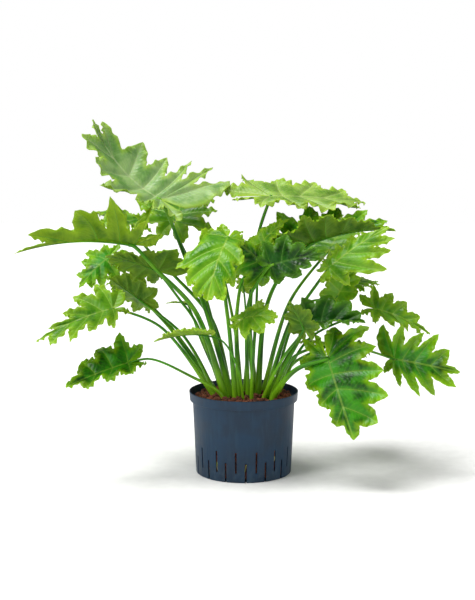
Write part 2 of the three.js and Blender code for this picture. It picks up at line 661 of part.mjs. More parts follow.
    foot: [1, -52], route: [[-18, -84, 270], [-50, -90, 322]], stalk: [3.5, 2],
  },
  {
    name: "young_leaf_back", kind: "small", seed: 29, joint: [30, -24, 365], tip: [42, -22, 405],
    roll: 50, droop: 20, wide: [1.1, 1.1],
    foot: [16, -11], route: [[24, -18, 290]], stalk: [4, 2.2],
  },
  {
    name: "leaf_back_right", kind: "cut", seed: 31, joint: [205, 150, 500], tip: [265, 290, 535],
    folds: [5, 5],
    foot: [36, 35], route: [[110, 110, 380]], stalk: [7, 3.2],
  },
  {
    name: "leaf_back_low_right", kind: "cut", seed: 32, joint: [210, 120, 275], tip: [255, 260, 215],
    folds: [5, 5],
    foot: [70, 20], route: [[120, 75, 240]], stalk: [6, 3],
  },
  {
    name: "leaf_back_centre", kind: "heart", seed: 33, joint: [-50, 130, 455], tip: [-70, 280, 450],
    droop: 50, folds: [5, 5],
    foot: [-5, 14], route: [[-18, 90, 300]], stalk: [6, 3],
  },
  {
    name: "leaf_back_left", kind: "cut", seed: 34, joint: [-262, 150, 560], tip: [-370, 260, 575],
    droop: 20, folds: [5, 5], wide: [0.9, 0.9],
    foot: [-25, 34], route: [[-75, 90, 340], [-165, 125, 440], [-235, 140, 510]], stalk: [7, 3.2],
  },
  {
    name: "leaf_back_low_left", kind: "cut", seed: 35, joint: [-275, 140, 415], tip: [-330, 230, 420],
    folds: [5, 5], wide: [0.9, 0.9],
    foot: [-47, 36], route: [[-185, 110, 335]], stalk: [5, 3],
  },
  {
    name: "leaf_back_far_right", kind: "cut", seed: 36, joint: [255, 130, 415], tip: [320, 210, 410],
    roll: 10, folds: [5, 5], wide: [0.9, 0.9],
    foot: [54, 36], route: [[130, 80, 295]], stalk: [5, 3],
  },
];

// Colours.
const PLASTIC = { color: "#2b4254", roughness: 0.55, metalness: 0 };
const CLAY = { color: "#6e3d2e", roughness: 0.95, metalness: 0 };
const GREENS = { full: "#5f9140", cut: "#548a34", heart: "#4c8a26", small: "#74a03c" };

const plant = new THREE.Group();
plant.name = "potted_philodendron";
function addNode(name, solid, look) {
  const node = new THREE.Mesh(geometryOf(solid), new THREE.MeshStandardMaterial(look));
  node.name = name;
  plant.add(node);
}

addNode("pot", potSolid(), PLASTIC);

// Each stalk stands in a plain hole of its own in the granules.
const holes = LEAVES.map((leaf) => {
  const rings = stalkRings(leaf, HOLE);
  const clear = rings.findIndex((ring) => ring[0].z > FILL_HEIGHT + HEAP + GRANULE + 12);
  return tubeSolid(rings.slice(0, clear + 1));
});
addNode("clay_granules", fillSolid().subtract(wasm.Manifold.union(holes)), CLAY);

for (const leaf of LEAVES) {
  const solid = bladeSolid(leaf).add(tubeSolid(stalkRings(leaf)));
  addNode(leaf.name, solid, { color: GREENS[leaf.kind], roughness: 0.45, metalness: 0 });
}

export default plant;
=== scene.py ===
# %% [markdown]
# # A potted tree philodendron
# The CAD model holds the plant's construction: the pot, its clay granules and one solid for each
# leaf with its stalk. This lesson dresses it, a piece at a time. Everything stands in the frame of
# the CAD model, in metres, with the pot's axis on Z and the plant's front towards -Y.

# %% The frame
import math

import bpy
import numpy as np
from mathutils import Euler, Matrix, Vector


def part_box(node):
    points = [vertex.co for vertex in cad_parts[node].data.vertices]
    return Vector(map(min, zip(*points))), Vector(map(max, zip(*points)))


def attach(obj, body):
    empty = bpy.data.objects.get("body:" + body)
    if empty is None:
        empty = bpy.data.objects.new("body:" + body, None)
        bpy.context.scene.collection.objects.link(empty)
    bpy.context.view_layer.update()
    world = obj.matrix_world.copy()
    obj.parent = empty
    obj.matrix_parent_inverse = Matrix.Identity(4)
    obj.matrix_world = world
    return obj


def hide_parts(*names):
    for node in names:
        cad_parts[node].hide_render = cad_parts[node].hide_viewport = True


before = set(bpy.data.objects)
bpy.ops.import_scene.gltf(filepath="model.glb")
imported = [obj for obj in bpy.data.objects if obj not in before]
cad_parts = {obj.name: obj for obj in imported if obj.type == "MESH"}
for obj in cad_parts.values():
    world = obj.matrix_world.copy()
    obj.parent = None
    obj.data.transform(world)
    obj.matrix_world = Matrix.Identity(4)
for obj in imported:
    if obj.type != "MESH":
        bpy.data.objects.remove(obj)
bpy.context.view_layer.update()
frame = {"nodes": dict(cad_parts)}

MM = 0.001
print("CAD nodes:", len(frame["nodes"]))

# %% [markdown]
# ## Small helpers
# Operators act on whatever is selected, so each step starts by deselecting everything. A colour is
# written as the sRGB hex value a painter would pick, and one function turns it into the linear
# numbers that shaders use. One small function adds a node with its settings and its links.

# %% Helpers
def deselect_all():
    if bpy.context.object and bpy.context.object.mode != "OBJECT":
        bpy.ops.object.mode_set(mode="OBJECT")
    bpy.ops.object.select_all(action="DESELECT")


def pick(piece):
    """Makes a piece the only selected one, and the active one."""
    deselect_all()
    piece.select_set(True)
    bpy.context.view_layer.objects.active = piece
    return piece


def apply_modifier(piece, kind, **settings):
    """Adds a modifier, sets it and applies it."""
    pick(piece)
    modifier = piece.modifiers.new(kind.title(), kind)
    for name, value in settings.items():
        setattr(modifier, name, value)
    bpy.ops.object.modifier_apply(modifier=modifier.name)


def settle(piece):
    """Moves a piece's place into its mesh, so that the object sits at the origin."""
    pick(piece)
    bpy.ops.object.transform_apply(location=True, rotation=True, scale=True)
    return piece


def join(pieces, name):
    deselect_all()
    for piece in pieces:
        piece.select_set(True)
    bpy.context.view_layer.objects.active = pieces[0]
    if len(pieces) > 1:
        bpy.ops.object.join()
    pieces[0].name = pieces[0].data.name = name
    return pieces[0]


def mesh_piece(name, points, faces, maps=None, materials=(), face_material=None):
    """A piece from its points and faces, with its UV maps given corner by corner."""
    mesh = bpy.data.meshes.new(name)
    mesh.from_pydata([tuple(p) for p in points], [], faces)
    for map_name, values in (maps or {}).items():
        layer = mesh.uv_layers.new(name=map_name)
        layer.uv.foreach_set("vector", np.asarray(values, np.float32).ravel())
    for material in materials:
        mesh.materials.append(material)
    if face_material is not None:
        mesh.polygons.foreach_set("material_index", face_material)
    mesh.update()
    piece = bpy.data.objects.new(name, mesh)
    bpy.context.collection.objects.link(piece)
    return piece


def linear(hex_code):
    parts = [int(hex_code[i:i + 2], 16) / 255 for i in (1, 3, 5)]
    return tuple(c / 12.92 if c <= 0.04045 else ((c + 0.055) / 1.055) ** 2.4 for c in parts) + (1.0,)


def feed(tree, node, inputs):
    """Feeds a node's inputs with values, or with the outputs of other nodes."""
    for name, value in inputs.items():
        if isinstance(value, bpy.types.NodeSocket):
            tree.links.new(value, node.inputs[name])
        else:
            node.inputs[name].default_value = value


def add(tree, kind, inputs=None, output=0, **settings):
    """Adds a node, sets it, feeds it, and gives the output that is wanted."""
    made = tree.nodes.new("ShaderNode" + kind)
    for name, value in settings.items():
        setattr(made, name, value)
    feed(tree, made, inputs or {})
    return made.outputs[output]


def new_material(name, **sockets):
    """A material with its Principled shader, whose plain values go on the shader's own sockets."""
    material = bpy.data.materials.new(name)
    material.use_nodes = True
    tree = material.node_tree
    skin = next(n for n in tree.nodes if n.type == "BSDF_PRINCIPLED")
    for socket, value in sockets.items():
        skin.inputs[socket.replace("_", " ")].default_value = value
    return material, tree, skin

# %% [markdown]
# Every finish here is built like paint. A ground colour gets coats, one over the other, and each coat
# shows where a pattern passes from one value to another. Patterns are sized in millimetres. The same
# patterns, each times its height, add up to the relief that the light catches.

# %% Coats and relief
SMOOTH = {"interpolation_type": "SMOOTHSTEP"}
COLOUR = {"data_type": "RGBA"}


def lumps(place, size_mm, detail=3.0):
    """What a noise needs for lumps of about size_mm."""
    return {"Vector": place, "Scale": 1 / (size_mm * MM), "Detail": detail, "Roughness": 0.55}


def between(value, start, end, low=0.0, high=1.0):
    """What a map range needs to go from low at start to high at end."""
    return {"Value": value, "From Min": start, "From Max": end, "To Min": low, "To Max": high}


def coats(tree, tone, layers):
    """Lays coats over a tone: each is a pattern, its start and end, its strength and its colour."""
    for pattern, start, end, strength, colour in layers:
        mask = add(tree, "MapRange", between(pattern, start, end, 0, strength), **SMOOTH)
        tone = add(tree, "Mix", {0: mask, 6: tone, 7: linear(colour)}, output=2, **COLOUR)
    return tone


def pile(tree, heights):
    """Adds up patterns, each times its own height."""
    total = 0.0
    for pattern, height in heights:
        total = add(tree, "Math", {0: pattern, 1: height, 2: total}, operation="MULTIPLY_ADD")
    return total


def dress(tree, skin, tone, gloss, relief, depth_mm, strength=1.0):
    """Gives a shader its colour, its roughness between two values, and a relief."""
    bump = add(tree, "Bump", {"Height": relief, "Distance": depth_mm * MM, "Strength": strength})
    rough = add(tree, "MapRange", between(*gloss), **SMOOTH)
    feed(tree, skin, {"Base Color": tone, "Roughness": rough, "Normal": bump})


print("coats lie over one another by a", SMOOTH["interpolation_type"].lower(), "mask")

# %% [markdown]
# ## The pot
# A culture pot is thin polypropylene, moulded in a matt slate blue. It is turned here ring by
# ring: a disc is extruded upwards and scaled at each step, over the rim and down the inside, as a
# potter would raise a wall. The slots are cut with one boolean, and a small bevel catches the light
# on every edge.

# %% The finish of the pot
def moulded_plastic():
    """Matt polypropylene: a fine spark-eroded grain, faint flow marks and a dusty foot."""
    material, tree, skin = new_material("matt_slate_polypropylene", IOR=1.49, Roughness=0.5,
                                        Specular_IOR_Level=0.35)
    place = add(tree, "TexCoord", output="Object")
    height = add(tree, "SeparateXYZ", {0: place}, output=2)
    cloud = add(tree, "TexNoise", lumps(place, 60, 4))
    upright = add(tree, "Mapping", {"Vector": place, "Scale": (1, 1, 0.12)})
    streak = add(tree, "TexNoise", lumps(upright, 9))
    tone = coats(tree, linear(POT_DEEP), [
        (cloud, 0.35, 0.65, 1, POT_LIGHT),
        (streak, 0.45, 0.75, 0.35, POT_PALE),
    ])
    low = add(tree, "MapRange", between(height, 0.05, 0.0, 0, 0.3), **SMOOTH)
    spots = add(tree, "MapRange", between(add(tree, "TexNoise", lumps(place, 14)), 0.4, 0.7), **SMOOTH)
    dust = add(tree, "Math", {0: low, 1: spots}, operation="MULTIPLY")
    tone = add(tree, "Mix", {0: dust, 6: tone, 7: linear(POT_DUST)}, output=2, **COLOUR)
    # The eroded grain is about 0.3 mm on the real pot; 0.9 mm is as fine as the picture can show.
    grain = add(tree, "TexNoise", lumps(place, 0.9, 2))
    relief = pile(tree, [(grain, 0.05), (streak, 0.12)])
    dress(tree, skin, tone, (cloud, 0.3, 0.7, 0.44, 0.56), relief, depth_mm=1)
    return material


POT_DEEP, POT_LIGHT, POT_PALE, POT_DUST = "#06243a", "#0a2d46", "#173a50", "#46585e"
plastic = moulded_plastic()

# %% The wall, raised ring by ring
POT_HEIGHT, RIM_HEIGHT = 190, 21
BASE_RADIUS, NECK_RADIUS, RIM_RADIUS = 109.6, 117.0, 125.0
WALL, FLOOR = 2.5, 3.0
NECK = POT_HEIGHT - RIM_HEIGHT
POT_SEGMENTS = 180


def wall_radius(z):
    return BASE_RADIUS + (NECK_RADIUS - BASE_RADIUS) * z / NECK


def face_outwards(piece):
    pick(piece)
    bpy.ops.object.mode_set(mode="EDIT")
    bpy.ops.mesh.select_all(action="SELECT")
    bpy.ops.mesh.normals_make_consistent(inside=False)
    bpy.ops.object.mode_set(mode="OBJECT")
    return piece


def turned_body(outline, segments):
    """Raises a turned body ring by ring, from the radius and the height of each ring."""
    deselect_all()
    bpy.ops.mesh.primitive_circle_add(vertices=segments, radius=outline[0][0] * MM, fill_type="NGON",
                                      location=(0, 0, outline[0][1] * MM))
    body = bpy.context.object
    bpy.ops.object.mode_set(mode="EDIT")
    bpy.ops.mesh.select_all(action="SELECT")
    for (r, z), (next_r, next_z) in zip(outline, outline[1:]):
        bpy.ops.mesh.extrude_region_move(TRANSFORM_OT_translate={"value": (0, 0, (next_z - z) * MM)})
        bpy.ops.transform.resize(value=(next_r / r, next_r / r, 1), center_override=(0, 0, next_z * MM))
    bpy.ops.object.mode_set(mode="OBJECT")
    return settle(face_outwards(body))


outline = [
    (BASE_RADIUS - 2.2, 0), (BASE_RADIUS - 0.6, 0.5), (BASE_RADIUS, 2.2), (NECK_RADIUS - 0.2, NECK - 5),
    (NECK_RADIUS + 0.1, NECK - 1.2), (NECK_RADIUS + 1, NECK), (RIM_RADIUS - 2.1, NECK),
    (RIM_RADIUS - 1.5, NECK + 0.6), (RIM_RADIUS - 0.2, POT_HEIGHT - 2.6), (RIM_RADIUS, POT_HEIGHT - 1.8),
    (RIM_RADIUS - 0.2, POT_HEIGHT - 0.6), (RIM_RADIUS - 0.9, POT_HEIGHT),
    (RIM_RADIUS - WALL, POT_HEIGHT - 0.2), (RIM_RADIUS - WALL - 0.7, NECK + 4),
    (NECK_RADIUS - WALL, NECK + 1), (wall_radius(FLOOR) - WALL, FLOOR),
]
pot = turned_body(outline, POT_SEGMENTS)
pot.name = pot.data.name = "culture_pot"
print("pot wall:", len(pot.data.polygons), "faces")

# %% [markdown]
# Two rows of upright slots let water in and roots out. Thin ribs of the mould leave them, and they
# shrink unevenly: a seeded draw changes their width by a few tenths of a millimetre.

# %% The slots
SLOTS, SLOT_WIDTH, CUT_DEPTH = 15, 4.0, 24
HIGH_SLOT = {"low": 22, "high": 70, "turn": -9.3}
LOW_SLOT = {"low": -5, "high": 45, "turn": 2.3}


def draw(seed, k):
    """A repeatable draw in 0..1."""
    value = math.sin(seed * 12.9898 + k * 78.233) * 43758.5453
    return value - math.floor(value)


def swing(seed, k):
    return 2 * draw(seed, k) - 1


def slot_angles(row):
    return [math.radians(row["turn"] + 360 / SLOTS * i) for i in range(SLOTS)]


cutters = []
for row in (HIGH_SLOT, LOW_SLOT):
    for i, angle in enumerate(slot_angles(row)):
        middle = Vector((0, -BASE_RADIUS, (row["low"] + row["high"]) / 2)) * MM
        middle.rotate(Euler((0, 0, angle)))
        width = SLOT_WIDTH + 0.5 * swing(row["high"], i)
        tall = row["high"] - row["low"] + 1.5 * swing(row["high"], i + 30)
        deselect_all()
        bpy.ops.mesh.primitive_cube_add(size=1, location=middle, rotation=(0, 0, angle))
        cutter = bpy.context.object
        cutter.scale = (width * MM, CUT_DEPTH * MM, tall * MM)
        cutters.append(settle(cutter))
cutter = join(cutters, "slot_cutter")
apply_modifier(pot, "BOOLEAN", operation="DIFFERENCE", solver="EXACT", object=cutter)
bpy.data.objects.remove(cutter)
apply_modifier(pot, "BEVEL", width=0.35 * MM, segments=2, limit_method="ANGLE",
               angle_limit=math.radians(40))
pick(pot)
bpy.ops.object.shade_smooth_by_angle(angle=math.radians(35))
pot.data.materials.clear()
pot.data.materials.append(plastic)
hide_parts("pot")
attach(pot, "root")
print("pot with slots:", len(pot.data.polygons), "faces")

# %% [markdown]
# ## The leaves: the plan of a blade
# A philodendron blade is cut into lobes. Each lobe has a vein of its own that leaves the midrib,
# curves outwards and ends in a point, and two neighbours part at a rounded sinus. Pushing a
# plane into that shape by hand 32 times would never give leaves that are alike and yet all
# different, so the blades are made in mesh code. The plan is drawn flat first, in shares of the
# blade's own length, with four kinds of leaf: full ones, deeply cut ones, heart-shaped ones that
# are hardly cut, and small young ones.

# %% Four kinds of leaf
KINDS = {
    "full": {
        "starts": [0, 0, 0.06, 0.2, 0.38, 0.6], "end": 0.76, "sinus": 0.62, "bulge": 0,
        "lobes": [[152, 0.4], [118, 0.52], [94, 0.56], [74, 0.56], [58, 0.48], [42, 0.34]],
        "wave": 0.035, "teeth": 0.014,
    },
    "cut": {
        "starts": [0, 0, 0.12, 0.3, 0.55], "end": 0.74, "sinus": 0.55, "bulge": 0,
        "lobes": [[150, 0.38], [112, 0.5], [84, 0.56], [62, 0.5], [44, 0.38]],
        "wave": 0.035, "teeth": 0.014,
    },
    "heart": {
        "starts": [0, 0, 0.2, 0.42, 0.65], "end": 0.78, "sinus": 0.72, "bulge": 0.06,
        "lobes": [[148, 0.4], [108, 0.48], [78, 0.48], [56, 0.42], [40, 0.28]],
        "wave": 0.03, "teeth": 0.008,
    },
    "small": {
        "starts": [0, 0, 0.25, 0.52], "end": 0.72, "sinus": 0.68, "bulge": 0.06,
        "lobes": [[145, 0.36], [100, 0.44], [62, 0.44], [42, 0.32]],
        "wave": 0.05, "teeth": 0.01,
    },
}
REAR_SWELL = 0.3  # how far the lobes by the joint swell back, in shares of their veins
rad = math.radians


def toward(angle):
    return np.array([math.cos(angle), math.sin(angle)])


def veins_of(leaf, side):
    """The veins of one half of a blade, the one by the joint first and the tip's own last."""
    kind, seed = KINDS[leaf["kind"]], leaf["seed"]
    own = leaf.get("left" if side > 0 else "right")
    wide = leaf.get("wide", [1, 1])[0 if side > 0 else 1]
    loose = 0 if own else 1
    veins = []
    for i, (angle, length) in enumerate(own or kind["lobes"]):
        k = i * 7 + (40 if side < 0 else 0)
        away = rad(angle + 7 * loose * swing(seed, k + 1))
        bend = rad(16 if away < rad(130) else -14)
        varied = 1 + 0.14 * loose * swing(seed, k + 2)
        sinus = kind["sinus"] * (1 + 0.12 * swing(seed, k + 6)) * leaf.get("cut", 1)
        veins.append({
            "k": k, "from": np.array([kind["starts"][i], 0.0]), "out": toward(away),
            "over": toward(away - bend), "length": length * varied * (1 if own else wide),
            "curl": swing(seed, k + 3), "phase": draw(seed, k + 4), "twist": swing(seed, k + 5),
            "sinus": min(0.85, sinus), "last": False,
        })
    veins.append({
        "k": 90, "from": np.array([kind["end"], 0.0]), "out": toward(0), "over": toward(0),
        "length": 1 - kind["end"], "curl": 0, "phase": draw(seed, 91 + side), "twist": 0,
        "sinus": min(0.8, 1.15 * kind["sinus"]), "last": True,
    })
    return veins


def along_vein(vein, p):
    p = np.asarray(p, float)[..., None]
    out = vein["out"] * vein["length"] * (p - p * p / 2)
    return vein["from"] + out + vein["over"] * vein["length"] * p * p / 2


def heading_of(vein, p):
    p = np.asarray(p, float)[..., None]
    turn = vein["out"] * (1 - p) + vein["over"] * p
    return turn / np.linalg.norm(turn, axis=-1, keepdims=True)


def unit(v):
    return v / np.linalg.norm(v)


flat_full = [along_vein(v, 1.0) for v in veins_of({"kind": "full", "seed": 1}, 1)]
print("lobe tips of a full leaf:", np.round(flat_full, 2).tolist())

# %% [markdown]
# A sinus is where two lobes part. It lies halfway between their veins, and is drawn back where a
# lobe is so short that it would lie past its tip. From the sinus out, each lobe keeps to its own
# side of a line halfway between the two tips, so that neighbours never cross.

# %% Half a lobe
INWARD = np.linspace(0, 1, 5)
OUTWARD = np.linspace(0, 1, 16)[1:]
ACROSS = np.array([0, 0.07, 0.18, 0.34, 0.52, 0.7, 0.86, 1.0])


def notch_between(a, b):
    reach = [a["sinus"], b["sinus"]]
    for _ in range(16):
        notch = (along_vein(a, reach[0]) + along_vein(b, reach[1])) / 2
        past = []
        for v in (a, b):
            beyond = (notch - along_vein(v, v["sinus"])) @ heading_of(v, v["sinus"])
            past.append(beyond / (v["length"] * (1 - v["sinus"])))
        if max(past) <= 0.35:
            break
        reach[1 if past[0] > past[1] else 0] *= 0.93
    return notch


def margin_of(leaf, vein, way, notch, rib, own_side, p):
    """The outer edge of half a lobe beside its vein, at the shares p of the vein."""
    kind, sinus = KINDS[leaf["kind"]], vein["sinus"]
    r = np.maximum(0, (p - sinus) / (1 - sinus))
    spine, heading = along_vein(vein, p), heading_of(vein, p)
    outward = np.stack([heading[:, 1], -heading[:, 0]], 1) * way
    if notch is None:
        swell = vein["length"] * REAR_SWELL * (4 * p * (1 - p)) ** 0.62 * (1.12 - 0.35 * p)
        room = 0.8 * abs(spine[:, 1]) / np.maximum(0.15, abs(outward[:, 1]))
        margin = spine + outward * np.minimum(swell, room)[:, None]
    else:
        turn = heading_of(vein, sinus)
        gap = notch - along_vein(vein, sinus)
        along, wide = gap @ turn, gap @ (np.array([turn[1], -turn[0]]) * way)
        varied = 1 + 0.5 * swing(leaf["seed"], vein["k"] + 11 + way)
        bulge = kind["bulge"] * (0.4 if vein["last"] else 1) * varied
        taper = (1 + bulge * 4 * r * (1 - r)) * np.maximum(0, 1 - r ** 1.7) ** 0.95
        margin = spine + outward * (wide * taper)[:, None] + heading * (along * (1 - r) ** 2)[:, None]
        inner = (p <= sinus + 1e-9)[:, None]
        margin = np.where(inner, rib + (notch - rib) * (p / sinus)[:, None], margin)
    turns = 2 * np.pi * (r * 1.7 + vein["phase"])
    tooth = 0.5 * np.sin(turns) + 0.25 * np.sin(2.3 * turns + 1)
    toothed = kind["teeth"] * tooth * np.sin(np.pi * np.clip(r, 0, 1)) ** 0.7
    margin = margin + outward * np.where((r > 0) & (r < 1), toothed, 0)[:, None]
    if notch is not None:
        away = np.linalg.norm(margin - notch, axis=1)
        over = 0.008 + 0.03 * away - (margin - notch) @ own_side
        margin = margin + own_side * np.where((r > 0) & (over > 0), over, 0)[:, None]
    margin[-1] = spine[-1]
    return r, spine, margin


def half_lobes(leaf):
    for side in (1, -1):
        veins = veins_of(leaf, side)
        for i, vein in enumerate(veins):
            for way in (-1, 1):
                if vein["last"] and way == 1:
                    continue
                rear = i == 0 and way == -1
                rib, notch, own_side = vein["from"], None, None
                if not rear:
                    near = veins[i + way]
                    rib = (vein["from"] + near["from"]) / 2
                    notch = notch_between(near, vein) if way < 0 else notch_between(vein, near)
                    tips = [unit(along_vein(v, 1.0) - notch) for v in (vein, near)]
                    apart = unit(tips[0] + tips[1])
                    own_side = np.array([-apart[1], apart[0]])
                    if own_side @ tips[0] < 0:
                        own_side = -own_side
                p = np.concatenate([INWARD * vein["sinus"], vein["sinus"] + (1 - vein["sinus"]) * OUTWARD])
                r, spine, margin = margin_of(leaf, vein, way, notch, rib, own_side, p)
                yield {"side": side, "way": way, "rear": rear, "vein": vein,
                       "p": p, "r": r, "spine": spine, "margin": margin}


print("rows along a half lobe:", len(INWARD) + len(OUTWARD), "and", len(ACROSS), "points across")

# %% [markdown]
# ## The leaves: the blade in space
# A living blade is never flat. It bends down along its midrib, folds up like a book at it and
# arches over again towards its edges. Between two veins the tissue puffs up, and at the margin it
# grows faster than it can lie flat, which gives the long waves and the fine ruffle. Each of these is
# one term below, in shares of the blade's length.

# %% Bending, folding and waving
RUFFLE = 0.004  # height of the ruffle, in shares of the blade
GROOVE = 0.5  # mm that the upper side sinks along a vein


def frame_of(leaf):
    joint = np.array(leaf["joint"], float)
    chord = np.array(leaf["tip"], float) - joint
    span, ahead = np.linalg.norm(chord), unit(chord)
    up = unit(np.array([0, 0, 1.0]) - ahead * ahead[2])
    left = np.cross(up, ahead)
    roll, droop = rad(leaf.get("roll", 0)), rad(leaf.get("droop", 30))
    half_bend = droop / 2
    top = up * math.cos(roll) - left * math.sin(roll)
    return {
        "joint": joint, "droop": droop, "length": span * half_bend / math.sin(half_bend),
        "leftward": left * math.cos(roll) + up * math.sin(roll),
        "start": ahead * math.cos(half_bend) + top * math.sin(half_bend),
        "face": top * math.cos(half_bend) - ahead * math.sin(half_bend),
    }


def in_space(leaf, frame, half, flat, q):
    """Places the flat points of half a lobe in space, and gives the way that its top faces there."""
    kind, vein, side = KINDS[leaf["kind"]], half["vein"], half["side"]
    x, y = flat[..., 0], abs(flat[..., 1])
    p, r = half["p"][:, None], half["r"][:, None]
    length, start, face = frame["length"], frame["start"], frame["face"]
    bend = np.where(x >= 0, frame["droop"], rad(20))
    run, drop, pitch = np.sin(bend * x) / bend, (np.cos(bend * x) - 1) / bend, -bend * x
    normal = face * np.cos(pitch)[..., None] - start * np.sin(pitch)[..., None]
    which = 0 if side > 0 else 1
    fold, arch = rad(leaf.get("folds", [10, 10])[which]), rad(leaf.get("arches", [-30, -30])[which])
    slope = fold + arch * y
    across, rise = (np.sin(slope) - np.sin(fold)) / arch, -(np.cos(slope) - np.cos(fold)) / arch
    place = frame["joint"] + length * (
        start * run[..., None] + face * drop[..., None]
        + frame["leftward"] * side * across[..., None] + normal * rise[..., None]
    )
    top = normal * np.cos(slope)[..., None] - frame["leftward"] * side * np.sin(slope)[..., None]
    curl = 0 if vein["last"] else leaf.get("curl", 0.25) * vein["curl"] * vein["length"]
    lift = curl * r ** 1.7
    pleat = np.where(r > 0, 1 - r, np.sin(np.pi / 2 * np.minimum(1, p / vein["sinus"])))
    if not half["rear"]:
        lift = lift + 0.03 * pleat * (1 - (1 - q) ** 2)
    swell = np.sin(np.pi * np.clip(r, 0, 1) ** 0.8)
    lift = lift + kind["wave"] * q * q * swell * np.sin(2 * np.pi * (2.3 * r + vein["phase"]))
    lift = lift + RUFFLE * q ** 3 * swell * np.sin(2 * np.pi * (6.1 * r + 3 * vein["phase"]))
    lift = lift + 0.36 * vein["twist"] * vein["length"] * q * half["way"] * r * (1 - r)
    most = 0.35 * y + 1e-6
    away = np.linalg.norm(flat - half["spine"][:, None], axis=-1) * length
    groove = GROOVE * np.exp(-((away / 3) ** 2)) * np.minimum(1, 4 * (1 - p))
    lifted = length * most * np.tanh(lift / most) - groove * np.minimum(1, y * length / 6)
    return place + top * lifted[..., None], top, away


print("kinds of leaf:", ", ".join(KINDS))

# %% [markdown]
# ## The leaves: from points to a skin
# The half lobes are woven into one sheet: where two of them meet they share their points, found by
# their place in the flat plan. Each corner also carries two maps in millimetres, one along and
# across the lobe's vein and one from the margin and from the midrib, which the finish reads to draw
# veins that follow the lobe. A Solidify modifier then gives the sheet its real 0.8 mm.

# %% The sheet
BLADE_THICKNESS = 0.8
RIB_SIDES, MIDRIB_SIDES, STALK_SIDES = 6, 8, 14
NOWHERE = 99.0  # a stalk's place on the margin map: far from any margin


class Weave:
    """Collects points, faces and the two maps of one piece."""

    def __init__(self):
        self.points, self.faces, self.vein_map, self.margin_map, self.known = [], [], [], [], {}

    def point(self, place, key=None):
        if key is None or key not in self.known:
            self.points.append(place)
            if key is None:
                return len(self.points) - 1
            self.known[key] = len(self.points) - 1
        return self.known[key]

    def face(self, corners, vein, margin):
        kept = [i for i in range(len(corners)) if corners[i] != corners[i - 1]]
        if len({corners[i] for i in kept}) < 3:
            return
        self.faces.append([corners[i] for i in kept])
        self.vein_map += [vein[i] for i in kept]
        self.margin_map += [margin[i] for i in kept]

    def piece(self, name, materials):
        maps = {"VeinMap": self.vein_map, "MarginMap": self.margin_map}
        made = mesh_piece(name, np.array(self.points) * MM, self.faces, maps, materials)
        made.data.shade_smooth()
        return made


def weave_blade(leaf, frame, sheet):
    """Fills the sheet, and returns each vein's line in space for its rib."""
    length, lines = frame["length"], {}
    for half in half_lobes(leaf):
        spine, margin = half["spine"], half["margin"]
        flat = spine[:, None] + (margin - spine)[:, None] * ACROSS[None, :, None]
        flat = flat * np.array([1, half["side"]])
        half = {**half, "spine": spine * np.array([1, half["side"]])}
        place, top, away = in_space(leaf, frame, half, flat, ACROSS[None, :])
        p, r, vein = half["p"], half["r"], half["vein"]
        wide = np.linalg.norm(margin - spine, axis=1) * length
        along = np.broadcast_to((p * vein["length"] * length)[:, None], away.shape)
        to_edge = (1 - ACROSS)[None, :] * wide[:, None]
        if not half["rear"]:
            to_edge = to_edge + np.maximum(0, (vein["sinus"] - p) * vein["length"] * length)[:, None]
        to_edge = np.minimum(to_edge, ((1 - p) * vein["length"] * length)[:, None])
        from_rib = abs(flat[..., 1]) * length
        ids = [[sheet.point(place[i, j], tuple(np.round(flat[i, j] * 1e4).astype(int)))
                for j in range(len(ACROSS))] for i in range(len(p))]
        flip = half["side"] * half["way"] > 0
        for i in range(len(p) - 1):
            for j in range(len(ACROSS) - 1):
                quad = [(i, j), (i + 1, j), (i + 1, j + 1), (i, j + 1)]
                quad = quad[::-1] if flip else quad
                sheet.face([ids[a][b] for a, b in quad], [(along[c], away[c]) for c in quad],
                           [(to_edge[c], from_rib[c]) for c in quad])
        lines[(half["side"], vein["k"])] = (place[:, 0], top[:, 0], vein)
    return lines


def weave_tube(sheet, centres, tops, radii, sides, channel=0.0):
    """A round rib or stalk along a line, with the way that its upper side faces at each ring."""
    ahead = np.gradient(centres, axis=0)
    ahead /= np.linalg.norm(ahead, axis=1, keepdims=True)
    up = tops - ahead * np.sum(tops * ahead, axis=1, keepdims=True)
    up /= np.linalg.norm(up, axis=1, keepdims=True)
    aside = np.cross(ahead, up)
    turn = 2 * np.pi * np.arange(sides) / sides
    shape = 1 - channel * np.exp(-((np.minimum(turn, 2 * np.pi - turn) / 0.55) ** 2))
    run = np.concatenate([[0], np.cumsum(np.linalg.norm(np.diff(centres, axis=0), axis=1))])
    rings = []
    for c, u, s, radius in zip(centres, up, aside, radii):
        rings.append([sheet.point(c + radius * k * (u * math.cos(t) + s * math.sin(t)))
                      for t, k in zip(turn, shape)])
    for i in range(len(rings) - 1):
        for j in range(sides):
            k = (j + 1) % sides
            corners = [rings[i][j], rings[i][k], rings[i + 1][k], rings[i + 1][j]]
            a, b = (2 * math.pi * radii[i] * t / sides for t in (j, j + 1))
            vein = [(run[i], a), (run[i], b), (run[i + 1], b), (run[i + 1], a)]
            sheet.face(corners, vein, [(NOWHERE, NOWHERE)] * 4)
    for ring, at, order in ((rings[0], run[0], -1), (rings[-1], run[-1], 1)):
        sheet.face(ring[::order], [(at, 0.0)] * sides, [(NOWHERE, NOWHERE)] * sides)


def rib_shape(line, base, tip, sink):
    """A rib along a vein: its centres a little under the skin, and its radii."""
    places, tops, _ = line
    share = np.linspace(0, 1, len(places)) ** 0.8
    radii = base + (tip - base) * share
    tops = tops / np.linalg.norm(tops, axis=1, keepdims=True)
    return places - tops * (sink * radii)[:, None], tops, radii


print("blade:", BLADE_THICKNESS, "mm thick; sides of a stalk:", STALK_SIDES)

